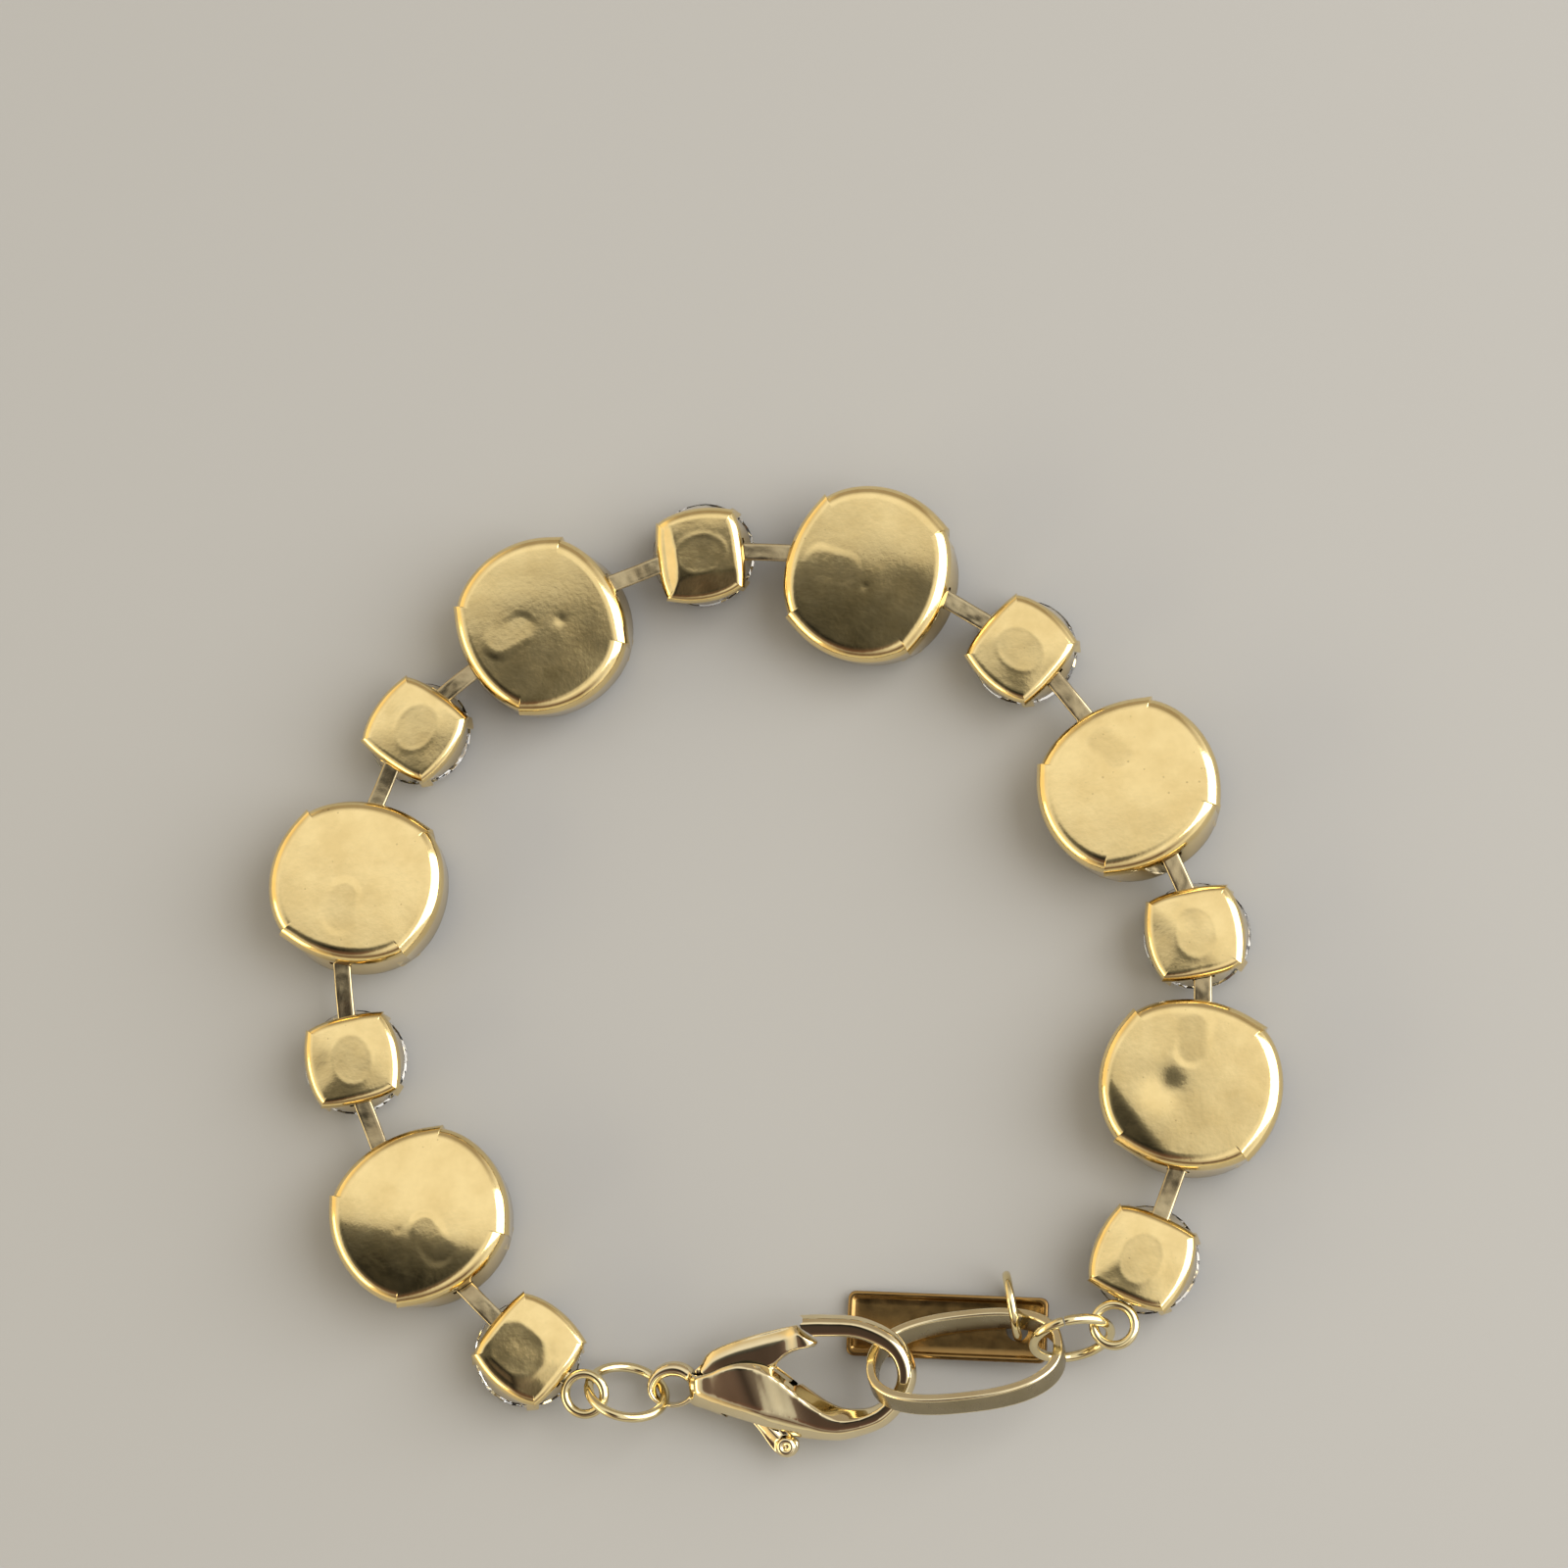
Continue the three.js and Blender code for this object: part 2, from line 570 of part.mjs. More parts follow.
// The clasp, with its lever closed against the nose.
const clasp = new THREE.Group();
addMesh(clasp, 'clasp_body', geometryOf(claspBodySolid()), BRIGHT_GOLD);
const leverHole = pinSolid(PIVOT.radius + PIVOT.clearance, CLASP_SLOT);
const lever = plate(outline(LEVER_OUTLINE), LEVER_THICKNESS, 5).subtract(leverHole);
addMesh(clasp, 'clasp_lever', geometryOf(lever), BRIGHT_GOLD);
const pinLength = CLASP_SLOT + (PIVOT.blindDepth - PIVOT.clearance) * 2;
addMesh(clasp, 'clasp_pin', geometryOf(pinSolid(PIVOT.radius, pinLength)), BRIGHT_GOLD);
const { x: claspX, y: claspY, z: claspZ, rise, roll: claspRoll } = CLASP_PLACE;
place(clasp, { x: claspX, y: claspY, z: claspZ, heading: 0, slope: -rise, roll: claspRoll });
bracelet.add(clasp);

// The origin goes to the bottom centre of the whole.
const whole = new THREE.Group();
whole.add(bracelet);
whole.updateMatrixWorld(true);
const box = new THREE.Box3().setFromObject(bracelet, true);
bracelet.position.set(-(box.min.x + box.max.x) / 2, -(box.min.y + box.max.y) / 2, -box.min.z);
whole.updateMatrixWorld(true);

export default whole;
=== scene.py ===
import json
import math

import bmesh
import bpy
import numpy as np
from mathutils import Matrix, Vector, geometry


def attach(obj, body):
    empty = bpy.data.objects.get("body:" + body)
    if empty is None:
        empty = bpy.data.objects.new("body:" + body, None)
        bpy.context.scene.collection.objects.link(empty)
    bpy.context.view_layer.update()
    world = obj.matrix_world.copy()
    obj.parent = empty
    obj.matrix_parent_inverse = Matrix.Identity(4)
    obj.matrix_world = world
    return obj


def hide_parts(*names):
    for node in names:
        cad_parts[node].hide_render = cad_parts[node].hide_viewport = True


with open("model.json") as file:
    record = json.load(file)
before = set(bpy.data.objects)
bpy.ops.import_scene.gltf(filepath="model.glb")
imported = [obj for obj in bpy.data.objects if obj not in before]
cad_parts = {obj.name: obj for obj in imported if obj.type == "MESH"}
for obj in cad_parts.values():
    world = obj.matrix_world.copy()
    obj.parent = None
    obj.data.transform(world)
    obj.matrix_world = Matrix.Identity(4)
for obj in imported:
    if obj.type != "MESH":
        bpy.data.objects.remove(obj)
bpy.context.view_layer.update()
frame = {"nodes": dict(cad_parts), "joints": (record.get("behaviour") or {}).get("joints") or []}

MM = 0.001
SEED = 7

# ---------- driving dimensions, in millimetres ----------

# They are the CAD model's, apart from a few tenths in places where the photo asks for them.
# A setting stands on the table of its stone. The stone, its table, the rim of the cup, and the
# middles of the sides and the corners of its back are radii; sides and rows are how many points
# go round the back and how many rings lie on it.
LARGE = {
    "size": "large", "stone": 5.45, "table": 3.3, "crown": 1.35, "pavilion": 3.1,
    "height": 5.3, "along": 5.62, "across": 6.02, "corner": 6.2, "rim": 5.9, "rim_z": 1.5,
    "scallop": 0.55, "prong_width": 1.7, "prong_thickness": 0.24, "prong_top": 2.8,
    "prong_reach": 1.0, "edge": 0.95, "sides": 168, "rows": 46,
}
SMALL = {
    "size": "small", "stone": 3.56, "table": 2.2, "crown": 1.0, "pavilion": 2.2,
    "height": 4.7, "along": 3.03, "across": 3.27, "corner": 3.84, "rim": 3.45, "rim_z": 1.55,
    "scallop": 0.6, "prong_width": 0.85, "prong_thickness": 0.19, "prong_top": 3.2,
    "prong_reach": 0.85, "edge": 0.7, "sides": 144, "rows": 26,
}
# How far in plan each small stone lies from the middle of its back, as its setting leans.
SMALL_LEANS = [(-0.8, -0.05), (-0.7, 0.4), (-0.6, 0.5), (-0.4, 0.9), (-0.2, 0.65), (-0.1, 0.45),
               (-0.1, 0.25)]
SHEET = 0.35
GIRDLE = 0.2
STONE_GAP = 0.1
CUP_ROWS = {"edge": 7, "wall": 12, "rim": 5, "inside": 8, "ceiling": 6}
PRONG = {"gap": 0.04, "lie": 0.03, "narrowing": 0.45, "thinning": 0.25}
TIP_BAND = 0.3
SLOT = {"width": 1.5, "height": 0.46, "depth": 1.6, "z": 3.9}
STRIP = {"width": 1.2, "thickness": 0.28, "chamfer": 0.12, "inset": 0.1, "arch": 0.05, "rows": 49}
END_RING = {"radius": 1.33, "wire": 0.32, "out": 2.675, "clearance": 0.15, "steps": 96,
            "sides": 24}
TONGUE = {"inside": 0.9, "overlap": 0.1, "narrowing": 0.3, "rows": 14}
JUMP_RING = {"radius": 2.55, "wire": 0.33}
TAG_RING = {"radius": 2.05, "wire": 0.29}
SEAM = {"gap": 0.035, "taper": 0.1}
RING_STEPS, RING_SIDES = 120, 28
# In LINK, rim is the width at each edge of the band that is painted lighter as a highlight.
LINK = {"length": 6.2, "width": 3.4, "band": 1.6, "thickness": 0.62, "squareness": 2.5,
        "chamfer": 0.16, "rim": 0.18, "rows": 200}
TAG = {"length": 13.4, "width": 4.3, "thickness": 0.55, "rim": 0.35, "recess": 0.15,
       "corner": 0.5, "least_corner": 0.12}
TAG_HOLE = {"radius": 0.75, "from_end": 2.0, "sides": 40}
PIVOT = {"x": 3.3, "y": 0.2}
# The angle in degrees past which an edge is shaded sharp.
SHARP = {"wire": 60, "cup": 50, "tag": 40, "clasp": 38}

# How each large back was pressed, in its own frame (X along the chain, Y to the left of it).
# crown is the drop at its edge, bend another drop and its direction, tilt its slope, pit the
# middle, depth and radius of a dent, and mark the middle of the stadium-shaped mark and its
# slope against the back round it. Past a fold, given by its direction, its distance from the
# middle, its slope and its softness, the back falls away.
LARGE_BACKS = [
    {"crown": 0.05, "bend": (0.3, -44), "tilt": (-0.07, 0.04), "pit": (-0.3, 1.6, 0.01, 0.3),
     "mark": (-2.0, 0.0, 0.026, -0.016), "fold": (136, 1.6, 0.1, 0.35)},
    {"crown": 0.06, "bend": (0.02, 0), "tilt": (-0.01, 0), "mark": (-1.9, 0.4, 0.012, -0.004)},
    {"crown": 0.05, "bend": (0.26, 95), "tilt": (0.002, 0.0), "pit": (1.4, -0.6, 0.025, 0.32),
     "mark": (-2.1, 0.4, -0.012, -0.019)},
    {"crown": 0.1, "bend": (0.05, 100), "tilt": (0.012, -0.014), "pit": (0.3, -1.0, 0.015, 0.25),
     "mark": (-2.3, -0.2, -0.005, 0.014), "fold": (-71, -0.1, 0.06, 0.6)},
    {"crown": 0.08, "bend": (0.02, 0), "mark": (-2.7, 0.3, -0.024, 0.01)},
    {"crown": 0.08, "bend": (0.04, 45), "tilt": (0.02, -0.007), "pit": (0.5, -1.55, 0.125, 1.2),
     "mark": (-3.0, -0.2, -0.02, 0.012), "fold": (-44, 4.1, 0.13, 0.12)},
]
PLAIN_BACK = {"tilt": (0, 0), "pit": (0, 0, 0, 1), "fold": (0, LARGE["corner"], 0, 1)}
CROWN_POWER = 2.2
MARK = {"half_length": 0.85, "radius": 1.0, "edge": 0.6, "lift": 0.002, "calm": 0.7}
# Slopes of the hammered facets of the small backs round their oval pads: towards the next cup,
# to the left of the chain, towards the cup before and to the right. tilt is the slope of the
# whole back, pad the middle of the oval, size its scale, and corner the share of its two
# neighbours' slopes that a facet at a corner has.
SMALL_BACKS = [
    {"slopes": (0.12, 0.21, 0.1, 0.15), "tilt": (0.0, -0.04), "pad": (0.66, 0.55), "size": 1.22},
    {"slopes": (0.08, 0.1, 0.06, 0.08), "tilt": (-0.025, 0.0)},
    {"slopes": (0.08, 0.06, 0.04, 0.06), "tilt": (0.01, 0.0), "pad": (0.2, -0.1)},
    {"slopes": (0.0, 0.04, 0.32, 0.16), "tilt": (0.018, 0.018), "pad": (0.1, 0.1), "corner": 0.12},
    {"slopes": (0.08, 0.08, 0.08, 0.03), "tilt": (-0.012, 0.0)},
    {"slopes": (0.05, 0.08, 0.06, 0.12), "tilt": (0.02, 0.0), "pad": (0.0, 0.1)},
    {"slopes": (0.06, 0.08, 0.06, 0.14), "tilt": (0.04, 0.0)},
]
PLAIN_SMALL_BACK = {"pad": (0, 0), "size": 1, "corner": 0.4}
PAD = {"along": 1.7, "across": 1.35, "facet": 0.95, "crease": 0.012, "ring": 0.008,
       "ring_width": 0.13}
# The waves in stamped or hammered metal: their length and height.
RIPPLES = {"large": (3.0, 0.004), "small": (2.0, 0.004), "strip": (0.8, 0.007)}
WAVES = 9
# Where a side of the back runs on past its clockwise corner, and the step in after it.
EAR = {"spur": 0.1, "spur_length": 0.1, "notch": 0.16, "notch_length": 0.22, "gap": 0.004}


# ---------- meshes ----------

# The least share of its vertices that a cut leaves to an object, unless the cut has failed.
KEPT_SHARE = 0.6


def smoothstep(low, high, value):
    """0 up to low, 1 from high on, and a smooth rise between."""
    t = np.clip((value - low) / (high - low), 0, 1)
    return t * t * (3 - 2 * t)


def loft(rings, ring_closed=False):
    """Vertices and faces through rings of points, with caps unless the last meets the first."""
    rings = np.asarray(rings, float)
    count, sides = rings.shape[:2]
    vertices = rings.reshape(-1, 3)
    faces = []
    last = count if ring_closed else count - 1
    for i in range(last):
        a, b = i * sides, ((i + 1) % count) * sides
        for j in range(sides):
            k = (j + 1) % sides
            faces.append((a + j, a + k, b + k, b + j))
    if not ring_closed:
        ends = np.array([rings[0].mean(0), rings[-1].mean(0)])
        first, final = len(vertices), len(vertices) + 1
        vertices = np.vstack([vertices, ends])
        for j in range(sides):
            k = (j + 1) % sides
            faces.append((first, k, j))
            faces.append((final, (count - 1) * sides + j, (count - 1) * sides + k))
    return vertices, faces


def joined(*shells):
    """Several shells as one list of vertices and faces."""
    vertices, faces, offset = [], [], 0
    for points, polygons in shells:
        vertices.append(points)
        faces += [tuple(i + offset for i in polygon) for polygon in polygons]
        offset += len(points)
    return np.vstack(vertices), faces


def added(name, data):
    """A new object in the scene."""
    obj = bpy.data.objects.new(name, data)
    bpy.context.scene.collection.objects.link(obj)
    return obj


def sharpen(obj, degrees):
    """Shades an object smooth, apart from its edges past an angle."""
    obj.data.polygons.foreach_set("use_smooth", [True] * len(obj.data.polygons))
    obj.data.set_sharp_from_angle(angle=math.radians(degrees))


def new_object(name, shell, smooth=True):
    """A mesh object from a shell, still in millimetres and in the piece's own frame."""
    points, polygons = shell
    mesh = bpy.data.meshes.new(name)
    mesh.from_pydata(np.asarray(points).tolist(), [], polygons)
    work = bmesh.new()
    work.from_mesh(mesh)
    bmesh.ops.recalc_face_normals(work, faces=work.faces)
    work.to_mesh(mesh)
    work.free()
    mesh.polygons.foreach_set("use_smooth", [smooth] * len(mesh.polygons))
    mesh.update()
    return added(name, mesh)


def bake(obj):
    """Applies an object's modifiers to its mesh."""
    bpy.context.view_layer.update()
    evaluated = obj.evaluated_get(bpy.context.evaluated_depsgraph_get())
    mesh = bpy.data.meshes.new_from_object(evaluated)
    obj.modifiers.clear()
    old, obj.data = obj.data, mesh
    bpy.data.meshes.remove(old)
    mesh.polygons.foreach_set("use_smooth", [True] * len(mesh.polygons))


def remesh(obj, voxel, smoothing):
    """Merges an object's shells into one skin, then smooths it."""
    skin = obj.modifiers.new("skin", "REMESH")
    skin.mode = "VOXEL"
    skin.voxel_size = voxel
    smooth = obj.modifiers.new("smooth", "SMOOTH")
    smooth.factor = 0.5
    smooth.iterations = smoothing
    bake(obj)


def cut(obj, cutter):
    """Cuts one object out of another, and removes the cutter. The second solver is for a cut
    that fails with the first."""
    before = obj.data.copy()
    for solver in ("EXACT", "FAST"):
        boolean = obj.modifiers.new("cut", "BOOLEAN")
        boolean.operation = "DIFFERENCE"
        boolean.solver = solver
        boolean.object = cutter
        bake(obj)
        if len(obj.data.vertices) > KEPT_SHARE * len(before.vertices):
            break
        obj.data = before.copy()
    bpy.data.meshes.remove(before)
    bpy.data.objects.remove(cutter)


def finish_piece(obj, place, material, nodes, body="bracelet"):
    """Lays a piece in its place in metres, with its material and body, and hides the CAD nodes
    that it stands for."""
    obj.data.transform(place @ Matrix.Scale(MM, 4))
    obj.data.materials.clear()
    obj.data.materials.append(material)
    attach(obj, body)
    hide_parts(*nodes)
    return obj


def sweep(path, section, up, closed=False):
    """Rings of a section carried along a path. section(i) gives [sideways, up] points."""
    count = len(path)
    rings = []
    for i in range(count):
        ahead = path[(i + 1) % count] if closed else path[min(i + 1, count - 1)]
        behind = path[i - 1] if closed else path[max(i - 1, 0)]
        tangent = ahead - behind
        tangent /= np.linalg.norm(tangent)
        side = np.cross(up, tangent)
        side /= np.linalg.norm(side)
        top = np.cross(tangent, side)
        points = section(i)
        rings.append(path[i] + points[:, :1] * side + points[:, 1:] * top)
    return np.array(rings)


def closed_wire(path, section):
    """A shell of a section carried round a closed path in the XY plane."""
    return loft(sweep(path, section, (0, 0, 1), closed=True), ring_closed=True)


def rounded_box_section(width, height, chamfer, per_corner=4):
    """A rectangle with round corners, as [sideways, up] points."""
    points = []
    for x, y, start in ((1, 1, 0), (-1, 1, 90), (-1, -1, 180), (1, -1, 270)):
        centre = np.array([x * (width / 2 - chamfer), y * (height / 2 - chamfer)])
        for step in range(per_corner + 1):
            angle = math.radians(start + 90 * step / per_corner)
            points.append(centre + chamfer * np.array([math.cos(angle), math.sin(angle)]))
    return np.array(points)


def round_section(radius_x, radius_y, sides):
    """An oval, as [sideways, up] points."""
    angle = np.linspace(0, 2 * math.pi, sides, endpoint=False)
    return np.stack([radius_x * np.cos(angle), radius_y * np.sin(angle)], 1)


def smooth_path(points, steps):
    """A Catmull-Rom curve through points, with a number of steps to each stretch."""
    points = np.asarray(points, float)
    padded = np.vstack([2 * points[0] - points[1], points, 2 * points[-1] - points[-2]])
    t = np.linspace(0, 1, steps, endpoint=False)[:, None]
    curve = []
    for i in range(len(points) - 1):
        a, b, c, d = padded[i:i + 4]
        curve.append(0.5 * (2 * b + (c - a) * t + (2 * a - 5 * b + 4 * c - d) * t ** 2
                            + (3 * b - a - 3 * c + d) * t ** 3))
    return np.vstack([*curve, points[-1:]])


# ---------- places, read from the CAD nodes ----------

def node_points(node):
    """The distinct vertices of a CAD node, in metres."""
    points = np.array([v.co for v in frame["nodes"][node].data.vertices])
    return np.unique(points.round(6), axis=0)


def principal_axes(points):
    """The middle of a set of points and its axes, from the longest to the shortest."""
    middle = points.mean(0)
    values, vectors = np.linalg.eigh(np.cov((points - middle).T))
    return middle, vectors[:, np.argsort(values)[::-1]].T


def place_of(origin, x_axis, z_axis):
    """The matrix of a place from its origin, its X axis and its Z axis."""
    z = Vector(z_axis).normalized()
    y = z.cross(Vector(x_axis)).normalized()
    x = y.cross(z)
    matrix = Matrix((x, y, z)).transposed().to_4x4()
    matrix.translation = Vector(origin)
    return matrix


def upwards(axis):
    """An axis, turned round if it points down."""
    return axis if axis[2] >= 0 else -axis


def setting_places():
    """The settings in their order round the chain, as (dimensions, number), and the place of
    each: table centre as origin, X along the chain, Z out of its back."""
    chain = [(cup, number) for number in range(1, 8) for cup in (SMALL, LARGE)][:-1]
    origins, axes = [], []
    for cup, number in chain:
        points = node_points(f"{cup['size']}_stone_{number}")
        middle, directions = principal_axes(points)
        axis = upwards(directions[2])
        origins.append(middle + axis * ((points - middle) @ axis).min())
        axes.append(axis)
    places = []
    for i, (cup, number) in enumerate(chain):
        ahead = origins[min(i + 1, len(chain) - 1)] - origins[max(i - 1, 0)]
        flat = place_of(origins[i], ahead, axes[i])
        points = node_points(f"{cup['size']}_cup_{number}")
        local = np.array([flat.inverted() @ Vector(p) for p in points])
        tips = local[local[:, 2] < local[:, 2].min() + TIP_BAND * MM]
        prongs = np.exp(4j * np.arctan2(tips[:, 1], tips[:, 0])).mean()
        quarter = math.pi / 2
        turn = np.angle(prongs) / 4 % quarter - quarter / 2
        places.append(flat @ Matrix.Rotation(turn, 4, "Z"))
    return chain, places


# ---------- settings ----------

def outline_angles(cup):
    """Angles round an outline, close together at the four corners."""
    t = np.linspace(-0.985, 0.985, cup["sides"] // 4)
    offset = t * (1.5 - 0.5 * t ** 2) * (math.pi / 4 - EAR["gap"])
    return np.concatenate([offset + side * math.pi / 2 for side in range(4)])


def outline_radius(cup, angle):
    """The back's outline: four bulged sides, each with a spur at its clockwise corner."""
    side = np.round(angle / (math.pi / 2))
    offset = (angle - side * math.pi / 2) / (math.pi / 4)
    middle = np.where(side % 2 == 0, cup["along"], cup["across"])
    radius = middle + (cup["corner"] - middle) * offset ** 2
    scale = cup["corner"] / LARGE["corner"]
    radius = radius + EAR["spur"] * scale * np.exp(-(offset + 1) / EAR["spur_length"])
    return radius - EAR["notch"] * scale * np.exp(-(1 - offset) / EAR["notch_length"])


def ripples(x, y, seed, wavelength, height):
    """Soft random undulation of a stamped sheet."""
    random = np.random.default_rng(seed)
    total = np.zeros_like(x)
    for _ in range(WAVES):
        angle, phase = random.uniform(0, 2 * math.pi, 2)
        length = wavelength * random.uniform(0.7, 1.8)
        wave = 2 * math.pi / length
        total += np.sin(wave * (x * math.cos(angle) + y * math.sin(angle)) + phase)
    return total * height / math.sqrt(WAVES)


def large_back(number):
    """Height of a large back over its plane: crowned and bent, with a pit and a flat mark."""
    row = {**PLAIN_BACK, **LARGE_BACKS[number - 1]}
    bend, bend_angle = row["bend"]
    angle = math.radians(bend_angle)
    reach = LARGE["corner"]
    mark_x, mark_y, *mark_tilt = row["mark"]
    pit_x, pit_y, pit_depth, pit_radius = row["pit"]
    fold_angle, fold_start, fold_slope, fold_soft = row["fold"]
    fold_angle = math.radians(fold_angle)

    def dome(x, y):
        across = x * math.cos(angle) + y * math.sin(angle)
        z = -row["crown"] * (np.hypot(x, y) / reach) ** CROWN_POWER
        z = z - bend * (across / reach) ** 2
        return z + row["tilt"][0] * x + row["tilt"][1] * y

    def height(x, y):
        along = np.clip(x - mark_x, -MARK["half_length"], MARK["half_length"])
        away = np.hypot(x - mark_x - along, y - mark_y)
        inside = 1 - smoothstep(MARK["radius"] - MARK["edge"] / 2,
                                MARK["radius"] + MARK["edge"] / 2, away)
        level = dome(mark_x, mark_y) + MARK["lift"]
        step = 0.01
        slope_x = (dome(mark_x + step, mark_y) - dome(mark_x - step, mark_y)) / (2 * step)
        slope_y = (dome(mark_x, mark_y + step) - dome(mark_x, mark_y - step)) / (2 * step)
        flat = level + (slope_x + mark_tilt[0]) * (x - mark_x)
        flat = flat + (slope_y + mark_tilt[1]) * (y - mark_y)
        z = dome(x, y) * (1 - inside) + flat * inside
        from_pit = np.hypot(x - pit_x, y - pit_y)
        z = z - pit_depth * np.exp(-(from_pit / pit_radius) ** 2)
        beyond = x * math.cos(fold_angle) + y * math.sin(fold_angle) - fold_start
        softened = fold_soft * np.log1p(np.exp(np.clip(beyond / fold_soft, -40, 40)))
        z = z - fold_slope * softened
        waves = ripples(x, y, SEED + number, *RIPPLES["large"])
        return z + waves * (1 - MARK["calm"] * inside)
    return height


def small_back(number):
    """Height of a small back: an oval pad with eight hammered facets round it."""
    row = {**PLAIN_SMALL_BACK, **SMALL_BACKS[number - 1]}
    pad_x, pad_y = row["pad"]
    size = row["size"]

    def height(x, y):
        x, y = x - pad_x, y - pad_y
        levels = [np.zeros_like(x)]
        for k in range(8):
            angle = k * math.pi / 4
            slope = row["slopes"][k // 2]
            if k % 2:
                slope = row["corner"] * (slope + row["slopes"][(k // 2 + 1) % 4])
            start = math.hypot(PAD["along"] * math.cos(angle), PAD["across"] * math.sin(angle))
            out = x * math.cos(angle) + y * math.sin(angle) - start * PAD["facet"] * size
            levels.append(slope * out)
        steepest = np.array(levels)
        z = -PAD["crease"] * np.log(np.exp(steepest / PAD["crease"]).sum(0))
        z = z + row["tilt"][0] * x + row["tilt"][1] * y
        oval = np.hypot(x / PAD["along"], y / PAD["across"]) / size
        z = z + PAD["ring"] * np.exp(-((oval - 1) / PAD["ring_width"]) ** 2)
        return z + ripples(x, y, SEED * 3 + number, *RIPPLES["small"])
    return height


def cup_shell(cup, back_height):
    """The pressed cup: back, round edge, wall down to its scalloped rim, and the inside."""
    angle = outline_angles(cup)
    cos, sin = np.cos(angle), np.sin(angle)
    outline = outline_radius(cup, angle)
    top, edge, rows = cup["height"], cup["edge"], CUP_ROWS
    away_from_prong = np.cos(2 * angle) ** 2
    rim_z = cup["rim_z"] + cup["scallop"] * away_from_prong

    def ring(radius, z):
        return np.stack([radius * cos, radius * sin, z * np.ones_like(angle)], 1)

    drop = back_height((outline - edge) * cos, (outline - edge) * sin)
    rings = []
    round_radius = cup["along"] - edge
    for share in np.linspace(0.03, 1, cup["rows"]):
        radius = share * (round_radius + (outline - edge - round_radius) * share ** 2)
        rings.append(ring(radius, top + back_height(radius * cos, radius * sin)))
    for step in range(1, rows["edge"] + 1):
        turn = math.pi / 2 * step / rows["edge"]
        rings.append(ring(outline - edge + edge * math.sin(turn),
                          top + drop - edge * (1 - math.cos(turn))))
    wall_top = top + drop - edge
    for share in np.linspace(0.08, 1, rows["wall"]):
        radius = outline + (cup["rim"] - outline) * share
        rings.append(ring(radius, wall_top + (rim_z - wall_top) * share))
    for step in range(1, rows["rim"]):
        turn = math.pi * step / rows["rim"]
        rings.append(ring(cup["rim"] - SHEET / 2 * (1 - math.cos(turn)),
                          rim_z - SHEET / 3 * math.sin(turn)))
    ceiling = top - SHEET
    for share in np.linspace(0, 1, rows["inside"]):
        radius = cup["rim"] - SHEET + (outline - cup["rim"]) * share
        rings.append(ring(radius, rim_z + (ceiling - edge - rim_z) * share))
    for share in np.linspace(0.94, 0.05, rows["ceiling"]):
        radius = share * (outline - SHEET)
        rings.append(ring(radius, ceiling + back_height(radius * cos, radius * sin)))
    return loft(rings)


def crown_z(cup, radius, offset):
    """Height of a line parallel to the crown at a radius, "offset" outside it."""
    slope = cup["crown"] / (cup["stone"] - cup["table"])
    return cup["crown"] - (cup["stone"] - radius) * slope - offset * math.hypot(1, slope)


def prong_shell(cup, angle):
    """A prong: a flat tongue down the wall, past the girdle and folded over the crown."""
    thickness = cup["prong_thickness"]
    outer = max(cup["stone"] + PRONG["gap"] + thickness, cup["rim"]) - thickness / 2
    tip = cup["stone"] + STONE_GAP - cup["prong_reach"]
    girdle_top = cup["crown"] + GIRDLE
    lie = PRONG["lie"] + thickness / 2
    path = smooth_path([
        (cup["rim"] - thickness * 0.6, 0, cup["prong_top"] + 0.3),
        (cup["rim"] - thickness * 0.42, 0, cup["prong_top"] - 0.3),
        (outer - 0.03, 0, girdle_top + 0.3),
        (outer, 0, girdle_top - 0.1),
        (outer - 0.1, 0, cup["crown"] - 0.2),
        (outer - 0.42, 0, crown_z(cup, outer - 0.36, lie)),
        ((outer + tip) / 2, 0, crown_z(cup, (outer + tip) / 2, lie)),
        (tip + 0.12, 0, crown_z(cup, tip + 0.12, lie)),
    ], 5)
    count = len(path)

    def section(i):
        share = i / (count - 1)
        width = cup["prong_width"] * (1 - PRONG["narrowing"] * smoothstep(0.25, 1.0, share))
        thin = thickness * (1 - PRONG["thinning"] * share)
        return rounded_box_section(thin, width, thin * 0.49)

    points, faces = loft(sweep(path, section, (0, 1, 0)))
    return points @ np.array(Matrix.Rotation(-angle, 3, "Z")), faces


def stone_shell(cup):
    """A brilliant-cut stone, table down, as the hull of its rings of corners: each ring's count,
    turn in shares of a step, radius and height."""
    table, girdle = cup["table"], cup["stone"]
    top = cup["crown"] + GIRDLE
    rings = (
        (8, 0.0, table, 0.0),
        (8, 0.5, table + (girdle - table) * 0.42, cup["crown"] * 0.3),
        (16, 0.0, girdle, cup["crown"]),
        (16, 0.5, girdle, cup["crown"] - 0.02),
        (32, 0.0, girdle, top),
        (8, 0.5, girdle * 0.62, top + cup["pavilion"] * 0.34),
        (8, 0.0, girdle * 0.3, top + cup["pavilion"] * 0.66),
    )
    work = bmesh.new()
    for count, shift, radius, z in rings:
        for i in range(count):
            angle = 2 * math.pi * (i + shift) / count
            work.verts.new((radius * math.cos(angle), radius * math.sin(angle), z))
    work.verts.new((0, 0, top + cup["pavilion"]))
    hull = bmesh.ops.convex_hull(work, input=work.verts)
    bmesh.ops.delete(work, geom=hull["geom_interior"], context="VERTS")
    bmesh.ops.dissolve_limit(work, angle_limit=math.radians(0.5), verts=work.verts,
                             edges=work.edges)
    work.verts.index_update()
    points = np.array([v.co for v in work.verts])
    faces = [tuple(v.index for v in f.verts) for f in work.faces]
    work.free()
    return points, faces


